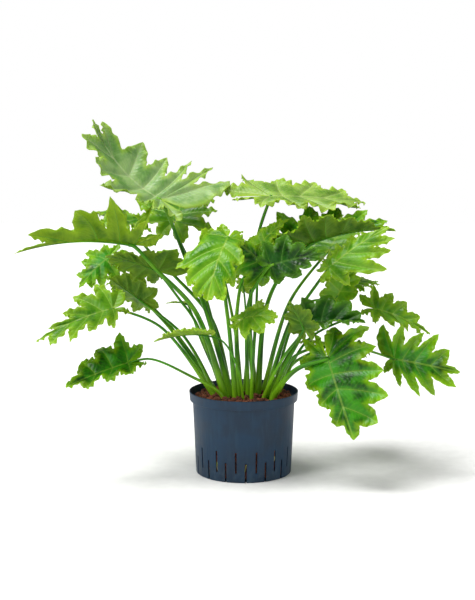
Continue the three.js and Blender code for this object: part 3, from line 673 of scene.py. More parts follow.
# %% [markdown]
# ## The stalks
# A leaf stalk, the petiole, is a smooth tapering rod. It sheathes the crown at its foot, where it is
# twice as thick as at its top, and has a shallow channel along its upper side. It follows a
# smooth curve through a few points, runs into the blade at the joint and goes on as the midrib.

# %% The curve of a stalk
FOOT = 150  # how deep the stalks stand
STALK_STEP = 9  # between the rings of a stalk


def smooth_curve(points):
    """A centripetal curve through the points, sampled finely."""
    points = [np.array(p, float) for p in points]
    ends = [2 * points[0] - points[1]] + points + [2 * points[-1] - points[-2]]
    out = []
    for x0, x1, x2, x3 in zip(ends, ends[1:], ends[2:], ends[3:]):
        d0, d1, d2 = (max(np.sum((b - a) ** 2), 1e-9) ** 0.25 for a, b in ((x0, x1), (x1, x2), (x2, x3)))
        t1 = ((x1 - x0) / d0 - (x2 - x0) / (d0 + d1) + (x2 - x1) / d1) * d1
        t2 = ((x2 - x1) / d1 - (x3 - x1) / (d1 + d2) + (x3 - x2) / d2) * d1
        t = np.linspace(0, 1, 41)[:-1, None]
        square, cube = 3 * (x2 - x1) - 2 * t1 - t2, 2 * (x1 - x2) + t1 + t2
        out.append(x1 + t1 * t + square * t ** 2 + cube * t ** 3)
    return np.concatenate(out + [points[-1][None]])


def stalk_line(leaf, frame):
    joint, face, start = frame["joint"], frame["face"], frame["start"]
    low, high = leaf["stalk"]
    route = [np.array(p, float) for p in leaf["route"]]
    along = unit(joint - route[-1])
    ends = [joint + along * 0.5 * high]
    if along @ start > 0.3:
        ends = [joint - face * 0.4 * high, joint - face * 0.3 * high + start * 2.5 * high]
    foot = np.array([leaf["foot"][0], leaf["foot"][1], FOOT], float)
    rise = foot + (route[0] - foot) * 0.18
    rise[2] = FOOT + 40
    fine = smooth_curve([foot, rise] + route + ends)
    run = np.concatenate([[0], np.cumsum(np.linalg.norm(np.diff(fine, axis=0), axis=1))])
    steps = round(run[-1] / STALK_STEP)
    share = np.linspace(0, 1, steps + 1)
    centres = np.stack([np.interp(share * run[-1], run, fine[:, i]) for i in range(3)], 1)
    radii = high + (low - high) * (1 - share) ** 1.7
    return centres, radii


print("stalks stand", FOOT, "mm up, with a ring every", STALK_STEP, "mm")

# %% [markdown]
# ## The finish of the leaves
# A leaf is a thin translucent sheet under a waxy skin. Light that falls on its far side comes
# through yellow-green, which subsurface scattering gives; the underside's ground colour also paints
# some of that light in. Pale main veins run out to each lobe, thin side veins leave them at a slant
# every centimetre or so, and between them a net of tiny cells breaks up the gloss. The margin is
# yellower, with a thin line. The underside has no wax: it is duller.

# %% Leaf skin
def leaf_skin(name, deep, fresh, vein, margin, rough, under=False):
    """Waxy leaf tissue, or the matt tissue of an underside."""
    material, tree, skin = new_material(
        name, IOR=1.4, Specular_IOR_Level=0.32, Subsurface_Weight=0.25, Subsurface_Scale=0.003,
        Subsurface_Radius=(0.6, 1.0, 0.15))
    place = add(tree, "TexCoord", output="Object")
    along = add(tree, "SeparateXYZ", {0: add(tree, "UVMap", uv_map="VeinMap")})
    edge = add(tree, "SeparateXYZ", {0: add(tree, "UVMap", uv_map="MarginMap")})
    across, rib = along.node.outputs[1], edge.node.outputs[1]
    cloud = add(tree, "TexNoise", lumps(place, 45))
    patch = add(tree, "TexNoise", lumps(place, 9, 2))
    cells = add(tree, "TexVoronoi", {"Vector": place, "Scale": 1 / (2.2 * MM)}, output="Distance",
                feature="DISTANCE_TO_EDGE")
    # Side veins leave the main vein at about 50 degrees, 10 mm apart, and wander a little.
    wander = add(tree, "TexNoise", lumps(place, 22, 1))
    slant = pile(tree, [(along, 0.1), (across, -0.085), (wander, 0.9)])
    ridge = add(tree, "Math", {0: slant, 1: 0.5}, operation="PINGPONG")
    tone = coats(tree, linear(deep), [
        (cloud, 0.38, 0.62, 1, fresh),
        (patch, 0.35, 0.75, 0.35, fresh),
        (across, 12.0, 2.0, 0.4, fresh),  # painted shade: paler beside the main veins, darker between them as if shaded between the puffs
        (cells, 0.12, 0.0, 0.12, deep),  # the net of cells
        (ridge, 0.07, 0.0, 0.2, vein),  # the side veins
        (across, 6.0, 1.0, 0.15, vein),  # the main veins, with a pale fringe
        (across, 1.1, 0.5, 0.5, vein),
        (rib, 3.2, 1.2, 0.45, vein),  # the midrib
        (edge, 22.0, 1.0, 0.6, margin),  # the yellower margin, with its thin line
        (edge, 3.0, 0.5, 0.7, margin),
    ])
    puff = add(tree, "MapRange", between(ridge, 0.0, 0.5), **SMOOTH)
    valley = add(tree, "MapRange", between(across, 0.0, 16.0), **SMOOTH)
    way = -1 if under else 1
    relief = pile(tree, [(puff, 0.36 * way), (valley, 3.0 * way), (cells, 0.1), (patch, 0.6)])
    dress(tree, skin, tone, (cloud, 0.3, 0.7, rough - 0.05, rough + 0.07), relief, 1, strength=0.8)
    return material


def stalk_skin():
    """Smooth green stalk: fine lengthwise streaks, paler at the foot."""
    material, tree, skin = new_material(
        "smooth_green_stalk", IOR=1.4, Specular_IOR_Level=0.4, Subsurface_Weight=0.1,
        Subsurface_Scale=0.003, Subsurface_Radius=(0.7, 1.0, 0.2))
    place = add(tree, "TexCoord", output="Object")
    height = add(tree, "SeparateXYZ", {0: place}, output=2)
    along_round = add(tree, "UVMap", uv_map="VeinMap")
    lengthwise = add(tree, "Mapping", {"Vector": along_round, "Scale": (0.012, 0.5, 1)})
    streak = add(tree, "TexNoise", {"Vector": lengthwise, "Scale": 1.0, "Detail": 3.0})
    cloud = add(tree, "TexNoise", lumps(place, 70, 2))
    tone = coats(tree, linear(STALK_DEEP), [
        (streak, 0.38, 0.62, 1, STALK_FRESH),
        (cloud, 0.45, 0.7, 0.5, STALK_PALE),
        (height, 0.27, 0.185, 0.6, STALK_FOOT),
    ])
    dress(tree, skin, tone, (streak, 0.3, 0.7, 0.3, 0.4), streak, depth_mm=0.4)
    return material


STALK_DEEP, STALK_FRESH, STALK_PALE, STALK_FOOT = "#1c5402", "#4a9604", "#80b818", "#8cc01c"
stalk_finish = stalk_skin()
# For each tone of leaf: its deep and fresh green, its veins, its margin, and its roughness.
TONES = {
    # The pale and light tones hold painted sheen: their greens are greyed and lightened towards the pale
    # reflection of the lamps on a waxy top.
    "pale": ("#5e8a42", "#90ae6c", "#b8ce92", "#9cbc3c", 0.34),
    "light": ("#5c8626", "#8cac4c", "#b8ce7e", "#a2c232", 0.34),
    "fresh": ("#316b02", "#649a1c", "#9aba46", "#92b41c", 0.35),
    "bright": ("#327602", "#689e1a", "#9cbe40", "#94b818", 0.33),
    "mid": ("#073400", "#37880b", "#84a83c", "#8cb60e", 0.33),
    "deep": ("#042001", "#154c05", "#4e7c26", "#568c10", 0.32),
    "young": ("#588a18", "#82ac3c", "#acc46a", "#98bc2e", 0.40),
}
tops = {tone: leaf_skin("waxy_leaf_" + tone, *colours) for tone, colours in TONES.items()}
# The undersides' greens are brighter and yellower than the tops': partly their own paler colour, partly
# painted light coming through the blade from behind.
UNDER_AND_PAINTED_BACKLIGHT = {
    "pale": ("#4c7408", "#728f1a", "#9cb04c", "#90ac20", 0.55),
    "light": ("#567a10", "#789620", "#a0b450", "#94b024", 0.55),
    "fresh": ("#3f6a02", "#6c8e0c", "#96ae34", "#8cac14", 0.55),
    "bright": ("#467202", "#6e900e", "#96b030", "#8eb014", 0.55),
    "mid": ("#325c04", "#567a14", "#88a23c", "#80a01c", 0.55),
    "deep": ("#1f4604", "#3c6410", "#6e8e30", "#708f18", 0.55),
    "young": ("#527a12", "#789a26", "#a0b454", "#94b02c", 0.55),
}
unders_and_painted_backlight = {
    tone: leaf_skin("matt_leaf_underside_" + tone, *colours, under=True)
    for tone, colours in UNDER_AND_PAINTED_BACKLIGHT.items()
}
print("leaf finishes:", len(tops) + len(unders_and_painted_backlight))

# %% [markdown]
# ## The 32 leaves
# Each leaf is one grown piece, so each is one object: its blade, its ribs and its stalk. The table
# gives where its joint and its tip are, how it rolls, droops, folds and arches, the lobes of the
# leaves that show best, and the route of its stalk, in millimetres and degrees.

# %% The leaves of this plant
LEAVES = [
    {
        # Its pale tone holds painted sheen.
        "name": "leaf_upper_left", "kind": "full", "seed": 1, "tone": "pale",
        "joint": [-190, 40, 625], "tip": [-345, 75, 805],
        "roll": -30, "droop": -60, "folds": [5, 15], "arches": [50, 20], "curl": 0.2, "cut": 0.8,
        "left": [[150, 0.36], [122, 0.3], [98, 0.28], [78, 0.58], [60, 0.5], [36, 0.38]],
        "right": [[128, 0.68], [112, 0.62], [100, 0.54], [88, 0.42], [68, 0.37], [22, 0.36]],
        "foot": [-19, -5], "route": [[-88, 32, 375], [-120, 45, 455]], "stalk": [9, 4],
    },
    {
        "name": "leaf_upper_left_back", "kind": "cut", "seed": 2, "tone": "fresh",
        "joint": [-160, 110, 570], "tip": [-125, 290, 625],
        "foot": [-26, 14], "route": [[-95, 90, 410], [-150, 110, 525]], "stalk": [7, 3.2],
    },
    {
        "name": "leaf_left_folded", "kind": "cut", "seed": 3, "tone": "fresh",
        "joint": [-245, -50, 530], "tip": [-505, -90, 515],
        "roll": -5, "folds": [62, 50], "arches": [-15, -20], "cut": 0.5,
        "left": [[138, 0.22], [108, 0.26], [82, 0.44], [74, 0.46], [30, 0.33]],
        "right": [[140, 0.26], [112, 0.44], [92, 0.42], [80, 0.31], [50, 0.2]],
        "foot": [-30, -24], "route": [[-110, -35, 380], [-195, -50, 475]], "stalk": [9, 4.5],
    },
    {
        "name": "leaf_left_cupped", "kind": "heart", "seed": 4, "tone": "mid",
        "joint": [-195, -4, 465], "tip": [-305, -84, 510],
        "roll": 45, "droop": 20, "arches": [-40, -40],
        "left": [[130, 0.62], [84, 0.6], [52, 0.3], [38, 0.33], [26, 0.26]],
        "right": [[150, 0.22], [124, 0.34], [92, 0.38], [78, 0.34], [62, 0.25]],
        "foot": [-37, -3], "route": [[-110, -4, 350], [-145, -4, 400]], "stalk": [6, 3],
    },
    {
        "name": "leaf_left_drooping", "kind": "cut", "seed": 5, "tone": "mid",
        "joint": [-310, 72, 490], "tip": [-380, 52, 420],
        "roll": -50, "droop": 40, "folds": [-10, -10], "arches": [-50, -50], "wide": [1.1, 1.1],
        "foot": [-55, 20], "route": [[-170, 66, 320], [-262, 80, 420], [-288, 78, 476]], "stalk": [5, 2.5],
    },
    {
        "name": "leaf_left_inner", "kind": "heart", "seed": 6, "tone": "mid",
        "joint": [-235, 28, 392], "tip": [-310, 12, 448],
        "roll": 50, "droop": 10, "folds": [30, 25], "arches": [-20, -20], "wide": [1.1, 1.1],
        "foot": [-54, -2], "route": [[-140, 20, 315]], "stalk": [6, 3],
    },
    {
        "name": "leaf_left_lower", "kind": "cut", "seed": 7, "tone": "fresh",
        "joint": [-295, -40, 385], "tip": [-465, -68, 315],
        "roll": -35, "droop": 25, "folds": [18, 15],
        "left": [[130, 0.26], [86, 0.42], [68, 0.5], [50, 0.44], [46, 0.38]],
        "right": [[128, 0.36], [88, 0.5], [60, 0.45], [38, 0.32], [20, 0.26]],
        "foot": [-48, -23], "route": [[-190, -36, 345]], "stalk": [6, 3],
    },
    {
        "name": "leaf_left_low", "kind": "small", "seed": 8, "tone": "mid",
        "joint": [-260, -60, 265], "tip": [-395, -110, 220],
        "roll": -45, "droop": 15, "folds": [28, 5], "arches": [-20, -20],
        "left": [[130, 0.3], [80, 0.36], [58, 0.3], [56, 0.32]],
        "right": [[140, 0.38], [106, 0.5], [92, 0.46], [76, 0.3]],
        "foot": [-37, -42], "route": [[-120, -60, 235], [-210, -65, 275]], "stalk": [5, 2.5],
    },
    {
        "name": "leaf_centre_hanging", "kind": "heart", "seed": 9, "tone": "bright",
        "joint": [-35, -80, 550], "tip": [-80, -190, 425],
        "roll": -10, "droop": 45, "folds": [-5, 0], "arches": [-40, -40],
        "left": [[150, 0.3], [104, 0.22], [62, 0.36], [50, 0.42], [40, 0.38]],
        "right": [[142, 0.3], [108, 0.36], [56, 0.66], [46, 0.52], [32, 0.36]],
        "foot": [-17, -46], "route": [[-32, -62, 335], [-42, -60, 430], [-36, -62, 500]], "stalk": [7, 3.5],
    },
    {
        "name": "leaf_centre", "kind": "heart", "seed": 10, "tone": "mid",
        "joint": [48, -32, 476], "tip": [-37, -60, 550],
        "roll": -45, "folds": [-60, 5], "arches": [-20, -40], "wide": [1.1, 0.8],
        "foot": [-9, -27], "route": [[-15, -26, 380], [5, -20, 460]], "stalk": [8, 3.5],
    },
    {
        "name": "leaf_centre_right", "kind": "heart", "seed": 11, "tone": "deep",
        "joint": [60, -88, 490], "tip": [180, -130, 520],
        "roll": 55, "droop": 20, "folds": [25, -25], "arches": [-20, -30],
        "left": [[140, 0.3], [104, 0.44], [76, 0.47], [50, 0.32], [34, 0.24]],
        "right": [[140, 0.26], [88, 0.36], [52, 0.42], [36, 0.36], [24, 0.24]],
        "foot": [9, -30], "route": [[10, -62, 400], [30, -80, 450]], "stalk": [6, 3],
    },
    {
        "name": "leaf_centre_back", "kind": "heart", "seed": 12, "tone": "bright",
        "joint": [34, 48, 518], "tip": [104, 38, 580],
        "roll": 40, "droop": 20, "wide": [0.8, 0.8],
        "foot": [15, 9], "route": [[30, 32, 400]], "stalk": [5, 2.8],
    },
    {
        "name": "leaf_right_folded", "kind": "full", "seed": 13, "tone": "mid",
        "joint": [150, 14, 525], "tip": [345, 6, 555],
        "folds": [55, 50], "arches": [-25, -15], "curl": 0.2,
        "left": [[140, 0.6], [116, 0.6], [90, 0.52], [70, 0.44], [46, 0.4], [34, 0.34]],
        "right": [[150, 0.55], [124, 0.56], [98, 0.46], [86, 0.46], [72, 0.3], [52, 0.2]],
        "foot": [29, -3], "route": [[50, 10, 375], [85, 14, 455]], "stalk": [9, 4],
    },
    {
        "name": "leaf_right_broad", "kind": "cut", "seed": 14, "tone": "fresh",
        "joint": [190, -50, 480], "tip": [325, -35, 570],
        "roll": 45, "droop": 25, "folds": [-25, -5], "arches": [-30, -25],
        "left": [[128, 0.3], [94, 0.32], [68, 0.34], [56, 0.34], [50, 0.3]],
        "right": [[148, 0.24], [88, 0.4], [56, 0.74], [40, 0.62], [38, 0.46]],
        "foot": [42, -18], "route": [[108, -24, 360], [135, -36, 400]], "stalk": [8, 3.5],
    },
    {
        "name": "leaf_right_inner", "kind": "heart", "seed": 15, "tone": "bright",
        "joint": [215, 60, 395], "tip": [255, 90, 470],
        "roll": 60, "droop": 20, "folds": [20, 20], "wide": [1.1, 1.1],
        "foot": [53, 16], "route": [[140, 62, 378]], "stalk": [5, 2.5],
    },
    {
        "name": "leaf_right_lower", "kind": "cut", "seed": 16, "tone": "fresh",
        "joint": [300, 20, 375], "tip": [425, -10, 320],
        "roll": 35, "droop": 35, "folds": [30, 15],
        "left": [[140, 0.38], [116, 0.42], [88, 0.36], [70, 0.3], [48, 0.22]],
        "right": [[128, 0.28], [76, 0.38], [58, 0.5], [42, 0.44], [28, 0.34]],
        "foot": [70, 4], "route": [[150, 22, 305], [260, 22, 360]], "stalk": [5, 2.5],
    },
    {
        "name": "leaf_far_right", "kind": "cut", "seed": 17, "tone": "mid",
        "joint": [340, -40, 270], "tip": [485, -70, 245],
        "roll": 60, "droop": 15, "folds": [20, -10], "arches": [-10, -20], "curl": 0.4, "cut": 0.85,
        "left": [[124, 0.56], [92, 0.54], [70, 0.54], [68, 0.56], [60, 0.38]],
        "right": [[120, 0.26], [76, 0.44], [60, 0.62], [54, 0.6], [36, 0.5]],
        "foot": [71, -13], "route": [[114, -22, 272], [200, -40, 300], [280, -45, 290]], "stalk": [5, 2.6],
    },
    {
        "name": "leaf_front_right", "kind": "full", "seed": 18, "tone": "mid",
        "joint": [185, -110, 285], "tip": [240, -170, 115],
        "roll": 50, "droop": 20, "folds": [0, -25], "arches": [-10, -15],
        "left": [[146, 0.42], [122, 0.64], [104, 0.6], [84, 0.6], [72, 0.6], [56, 0.44]],
        "right": [[162, 0.34], [144, 0.42], [122, 0.46], [98, 0.46], [76, 0.3], [48, 0.26]],
        "foot": [58, -44], "route": [[118, -94, 258]], "stalk": [9, 5],
    },
    {
        "name": "leaf_right_round", "kind": "small", "seed": 19, "tone": "deep",
        "joint": [132, -114, 352], "tip": [97, -138, 417],
        "roll": 30, "droop": 20, "wide": [1.1, 1.1],
        "foot": [38, -46], "route": [[88, -94, 285]], "stalk": [5, 2.8],
    },
    {
        "name": "leaf_right_dark", "kind": "heart", "seed": 20, "tone": "deep",
        "joint": [150, -58, 355], "tip": [270, -86, 360],
        "roll": 30, "droop": 25, "folds": [50, 40],
        "left": [[140, 0.26], [108, 0.5], [78, 0.52], [56, 0.45], [40, 0.3]],
        "right": [[140, 0.22], [104, 0.4], [78, 0.5], [56, 0.45], [40, 0.3]],
        "foot": [57, -26], "route": [[108, -54, 285]], "stalk": [6, 3],
    },
    {
        "name": "leaf_front_small", "kind": "small", "seed": 21, "tone": "bright",
        "joint": [0, -110, 375], "tip": [75, -125, 380],
        "roll": 25, "folds": [0, -10], "wide": [1.5, 1.5],
        "foot": [18, -51], "route": [[15, -98, 325]], "stalk": [5, 2.6],
    },
    {
        # Its light tone holds painted sheen.
        "name": "leaf_upper_right", "kind": "cut", "seed": 22, "tone": "light",
        "joint": [62, 60, 631], "tip": [285, 110, 610],
        "roll": 37, "droop": 12, "folds": [-19, 26], "arches": [-5, -25], "curl": 0.12, "cut": 1.2,
        "left": [[151, 0.5], [117, 0.61], [96, 0.41], [63, 0.43], [46, 0.36]],
        "right": [[160, 0.41], [127, 0.29], [77, 0.4], [65, 0.48], [50, 0.41]],
        "foot": [28, 19], "route": [[14, 62, 330], [32, 80, 530]], "stalk": [8, 3.6],
    },
    {
        "name": "young_leaf_middle", "kind": "small", "seed": 26, "tone": "young",
        "joint": [0, 16, 425], "tip": [-10, 0, 450],
        "droop": 20, "wide": [1.6, 1.6],
        "foot": [-1, -9], "route": [[8, 6, 300]], "stalk": [4, 2.2],
    },
    {
        "name": "young_leaf_left_upper", "kind": "small", "seed": 27, "tone": "young",
        "joint": [-130, 38, 385], "tip": [-180, 38, 385],
        "roll": 10, "droop": 20,
        "foot": [-40, 14], "route": [[-98, 30, 300]], "stalk": [4, 2.2],
    },
    {
        "name": "young_leaf_left_lower", "kind": "small", "seed": 28, "tone": "young",
        "joint": [-100, -90, 335], "tip": [-200, -102, 320],
        "roll": 5, "droop": 20, "folds": [30, 10],
        "foot": [1, -52], "route": [[-18, -84, 270], [-50, -90, 322]], "stalk": [3.5, 2],
    },
    {
        "name": "young_leaf_back", "kind": "small", "seed": 29, "tone": "young",
        "joint": [30, -24, 365], "tip": [42, -22, 405],
        "roll": 50, "droop": 20, "wide": [1.1, 1.1],
        "foot": [16, -11], "route": [[24, -18, 290]], "stalk": [4, 2.2],
    },
    {
        "name": "leaf_back_right", "kind": "cut", "seed": 31, "tone": "fresh",
        "joint": [205, 150, 500], "tip": [265, 290, 535],
        "folds": [5, 5],
        "foot": [36, 35], "route": [[110, 110, 380]], "stalk": [7, 3.2],
    },
    {
        "name": "leaf_back_low_right", "kind": "cut", "seed": 32, "tone": "fresh",
        "joint": [210, 120, 275], "tip": [255, 260, 215],
        "folds": [5, 5],
        "foot": [70, 20], "route": [[120, 75, 240]], "stalk": [6, 3],
    },
    {
        "name": "leaf_back_centre", "kind": "heart", "seed": 33, "tone": "fresh",
        "joint": [-50, 130, 455], "tip": [-70, 280, 450],
        "droop": 50, "folds": [5, 5],
        "foot": [-5, 14], "route": [[-18, 90, 300]], "stalk": [6, 3],
    },
    {
        "name": "leaf_back_left", "kind": "cut", "seed": 34, "tone": "fresh",
        "joint": [-262, 150, 560], "tip": [-370, 260, 575],
        "droop": 20, "folds": [5, 5], "wide": [0.9, 0.9],
        "foot": [-25, 34], "route": [[-75, 90, 340], [-165, 125, 440], [-235, 140, 510]], "stalk": [7, 3.2],
    },
    {
        "name": "leaf_back_low_left", "kind": "cut", "seed": 35, "tone": "fresh",
        "joint": [-275, 140, 415], "tip": [-330, 230, 420],
        "folds": [5, 5], "wide": [0.9, 0.9],
        "foot": [-47, 36], "route": [[-185, 110, 335]], "stalk": [5, 3],
    },
    {
        "name": "leaf_back_far_right", "kind": "cut", "seed": 36, "tone": "fresh",
        "joint": [255, 130, 415], "tip": [320, 210, 410],
        "roll": 10, "folds": [5, 5], "wide": [0.9, 0.9],
        "foot": [54, 36], "route": [[130, 80, 295]], "stalk": [5, 3],
    },
]
print("leaves:", len(LEAVES))

# %% [markdown]
# Sheet, skin thickness, ribs and stalk are made in turn and joined. The ribs sit mostly under the
# blade, where they stand out on a real leaf, and show as pale lines on top.

# %% Every leaf, one after the other
COMMON_BLADE = 250  # mm, the length of blade that the ribs are drawn for
CHANNEL = 0.16
MIDRIB_SHARE, MIDRIB_SINK, RIB_SINK = 0.62, 0.82, 0.75


def grow_leaf(leaf):
    frame_here = frame_of(leaf)
    size = frame_here["length"] / COMMON_BLADE
    sheet = Weave()
    lines = weave_blade(leaf, frame_here, sheet)
    blade = sheet.piece(leaf["name"] + "_blade", [tops[leaf["tone"]], unders_and_painted_backlight[leaf["tone"]], stalk_finish])
    apply_modifier(blade, "SOLIDIFY", thickness=BLADE_THICKNESS * MM, offset=0.0, material_offset=1)
    rods = Weave()
    centres, radii = stalk_line(leaf, frame_here)
    inward = np.array([-1.0, -1.0, 0]) * centres + np.array([0, 0, 60.0])
    inward[0] = inward[1]
    weave_tube(rods, centres, inward, radii, STALK_SIDES, CHANNEL)
    places, faces_up = midrib_line(frame_here)
    thick = MIDRIB_SHARE * leaf["stalk"][1]
    radii = thick + (0.4 - thick) * np.linspace(0, 1, len(places)) ** 0.7
    sunk = places - faces_up * (MIDRIB_SINK * radii)[:, None]
    weave_tube(rods, sunk, faces_up, radii, MIDRIB_SIDES)
    for line in lines.values():
        if line[2]["last"]:
            continue
        base = (0.4 + 0.7 * min(1, line[2]["length"] / 0.5)) * size
        weave_tube(rods, *rib_shape(line, base, 0.3, RIB_SINK), RIB_SIDES)
    stalk = rods.piece(leaf["name"] + "_ribs", [stalk_finish])
    grown = join([blade, stalk], leaf["name"] + "_grown")
    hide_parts(leaf["name"])
    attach(grown, "root")
    return grown


def midrib_line(frame_here):
    """Points along the midrib and the way its top faces, from the joint to near the tip."""
    x = np.linspace(0, 0.97, 26)[:, None]
    bend, length = frame_here["droop"], frame_here["length"]
    place = frame_here["joint"] + length * (
        frame_here["start"] * np.sin(bend * x) / bend + frame_here["face"] * (np.cos(bend * x) - 1) / bend)
    top = frame_here["face"] * np.cos(-bend * x) - frame_here["start"] * np.sin(-bend * x)
    return place, top


leaves = [grow_leaf(leaf) for leaf in LEAVES]
counts = [len(leaf.data.polygons) for leaf in leaves]
print("leaf faces in all:", sum(counts), "largest", max(counts))

# %% [markdown]
# ## The clay granules
# Expanded clay is fired until it froths, so each granule is a rounded lump with a thin reddish-brown
# skin and pores. A few different lumps are modelled, and every granule in the pot is a turned copy of
# one of them. They lie in two jittered layers on top, and a few stand behind the slots.

# %% Fired clay
def fired_clay():
    """Expanded clay: matt, dusty, reddish brown, each lump a little different, with fine pores."""
    material, tree, skin = new_material("fired_expanded_clay", IOR=1.5, Roughness=0.9)
    place = add(tree, "TexCoord", output="Object")
    lump = add(tree, "TexVoronoi", {"Vector": place, "Scale": 1 / (10 * MM)}, output="Color")
    red = add(tree, "SeparateColor", {0: lump})
    dust = add(tree, "TexNoise", lumps(place, 3))
    pores = add(tree, "TexNoise", lumps(place, 1.6))
    ground = {0: red, 6: linear(CLAY_DARK), 7: linear(CLAY_RED)}
    tone = coats(tree, add(tree, "Mix", ground, output=2, **COLOUR), [
        (red.node.outputs[1], 0.6, 1.0, 0.7, CLAY_TAN),
        (dust, 0.55, 0.8, 0.4, CLAY_DUST),
    ])
    dress(tree, skin, tone, (dust, 0.3, 0.8, 0.82, 0.96), pores, depth_mm=0.8)
    return material


CLAY_DARK, CLAY_RED, CLAY_TAN, CLAY_DUST = "#44200f", "#7a3c24", "#96583a", "#a88468"
clay = fired_clay()
clay_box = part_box("clay_granules")
print("granules lie in:", [[round(v, 3) for v in corner] for corner in clay_box])

# %% [markdown]
# One lump starts as a cube, is cut into 54 faces, pushed out to a ball and dented with a seeded
# draw. Copying its numbers straight into one mesh is much quicker than a thousand objects.

# %% A few lumps
FILL_HEIGHT, HEAP, GRAIN = 178, 8, 4.9  # level at the wall, rise in the middle, radius of a lump
FILL_RADIUS, STEP, SLOT_STEP = 113.0, 9.3, 7.5


def one_lump(seed):
    deselect_all()
    bpy.ops.mesh.primitive_cube_add(size=2)
    lump = bpy.context.object
    bpy.ops.object.mode_set(mode="EDIT")
    bpy.ops.mesh.select_all(action="SELECT")
    bpy.ops.mesh.subdivide(number_cuts=2)
    bpy.ops.transform.tosphere(value=0.92)
    bpy.ops.object.mode_set(mode="OBJECT")
    points = np.array([tuple(v.co) for v in lump.data.vertices])
    faces = [tuple(p.vertices) for p in lump.data.polygons]
    points /= np.abs(points).max()
    for k, point in enumerate(points):
        points[k] = point * (1 + 0.09 * swing(seed, k))
    points *= np.array([1.0, 0.82 + 0.2 * draw(seed, 90), 0.78 + 0.15 * draw(seed, 91)])
    bpy.data.objects.remove(lump)
    return points, faces


shapes = [one_lump(seed) for seed in range(5)]
stems = [(np.array(leaf["foot"], float), leaf["stalk"][0]) for leaf in LEAVES]


def heap(r):
    return FILL_HEIGHT + HEAP * math.cos(min(r, 100) / 100 * math.pi / 2)


def free_of_stems(x, y, room):
    return all(math.hypot(x - foot[0], y - foot[1]) > radius + room for foot, radius in stems)


places = []
for layer in range(2):
    for row in range(-13, 14):
        for column in range(-14, 15):
            k = layer * 4000 + (row + 20) * 60 + column + 20
            x = (column + 0.5 * (row % 2) + 0.33 * layer) * STEP + 2.2 * swing(21, k)
            y = row * STEP * 0.866 + 0.4 * STEP * layer + 2.2 * swing(22, k)
            r = math.hypot(x, y)
            size = GRAIN * (0.78 + 0.42 * draw(23, k))
            if r < FILL_RADIUS - size and free_of_stems(x, y, size - 1.2):
                places.append((x, y, heap(r) - 1.5 - 6.5 * layer + 2.4 * swing(24, k), size, k))
top_count = len(places)
for row in (HIGH_SLOT, LOW_SLOT):
    for i, angle in enumerate(slot_angles(row)):
        for n in range(int((row["high"] - max(row["low"], 4)) / SLOT_STEP) + 1):
            z = max(row["low"], 10) + SLOT_STEP * n
            for across in (-1, 1):
                k = 9000 + i * 40 + n * 2 + (across + 1) // 2 + (2000 if row is LOW_SLOT else 0)
                size = GRAIN * (0.75 + 0.3 * draw(25, k))
                r = wall_radius(z) - WALL - 1.08 * size - 0.3 - 0.8 * draw(26, k)
                turn = angle + (across * 3.6 + 1.5 * swing(27, k)) / r
                places.append((r * math.sin(turn), -r * math.cos(turn), z + 2 * swing(28, k), size, k))
points, faces = [], []
for x, y, z, size, k in places:
    shape, quads = shapes[k % len(shapes)]
    turned = Euler((6.3 * draw(31, k), 6.3 * draw(32, k), 6.3 * draw(33, k))).to_matrix()
    base = len(points)
    points += list((shape @ np.array(turned).T) * size + np.array([x, y, z]))
    faces += [tuple(base + v for v in quad) for quad in quads]
granules = mesh_piece("granules", np.array(points) * MM, faces, materials=[clay])
granules.data.shade_smooth()
print("granules:", top_count, "on top and", len(places) - top_count, "behind the slots")

# %% [markdown]
# Under the loose lumps lies the bed that they rest on. Nobody sees it but through the gaps, so it is
# one plain turned body in the same fired clay, that closes the view into the pot.

# %% The bed under them
bed_rings = [
    (96, 6), (106, 14), (wall_radius(90) - WALL - 9, 90), (wall_radius(150) - WALL - 8, 162), (70, 170),
]
bed = turned_body(bed_rings, 60)
bed.data.materials.clear()
bed.data.materials.append(clay)
print("bed rings:", len(bed_rings))

# %% [markdown]
# Roots grow out to the wall, where the air is, and end in pale tips. The slots show a few of them. Each
# is a thin bent tube that thins to its tip, and its skin is cream with yellow-green where light falls.

# %% Root tips behind the slots
def living_root():
    """Moist root skin: cream, greener in the light, browned here and there, with fine root hairs."""
    material, tree, skin = new_material("moist_living_root", IOR=1.38, Roughness=0.5)
    place = add(tree, "TexCoord", output="Object")
    cloud = add(tree, "TexNoise", lumps(place, 14, 2))
    hairs = add(tree, "TexNoise", lumps(place, 1.2))
    tone = coats(tree, linear(ROOT_CREAM), [
        (cloud, 0.4, 0.6, 1, ROOT_GREEN),
        (hairs, 0.55, 0.75, 0.5, ROOT_BROWN),
    ])
    dress(tree, skin, tone, (hairs, 0.3, 0.7, 0.45, 0.65), hairs, depth_mm=0.3)
    return material


ROOT_CREAM, ROOT_GREEN, ROOT_BROWN = "#cfc68e", "#a3b04a", "#7a5a34"
root_skin = living_root()
ROOT_RINGS, ROOT_SIDES = 9, 6


def root_tube(angle, low, high, seed):
    """Points and faces of one root tip: low is its tip, high is where it leaves the granules."""
    points = []
    for i in range(ROOT_RINGS):
        share = i / (ROOT_RINGS - 1)
        z = low + (high - low) * share
        turn = angle + 2.2 * math.sin(3.1 * share + 6 * draw(seed, 1)) / 105
        r = wall_radius(z) - WALL - 2.1 - 0.7 * math.sin(4.0 * share + 6 * draw(seed, 2))
        thick = 0.35 + 0.95 * share ** 0.5
        for j in range(ROOT_SIDES):
            side = 2 * math.pi * j / ROOT_SIDES
            near, away = r + thick * math.cos(side), thick * math.sin(side)
            points.append((near * math.sin(turn) + away * math.cos(turn),
                           -near * math.cos(turn) + away * math.sin(turn), z))
    faces = []
    for i in range(ROOT_RINGS - 1):
        for j in range(ROOT_SIDES):
            a, b = i * ROOT_SIDES + j, i * ROOT_SIDES + (j + 1) % ROOT_SIDES
            faces.append((a, b, b + ROOT_SIDES, a + ROOT_SIDES))
    faces.append(tuple(reversed(range(ROOT_SIDES))))
    faces.append(tuple((ROOT_RINGS - 1) * ROOT_SIDES + j for j in range(ROOT_SIDES)))
    return points, faces


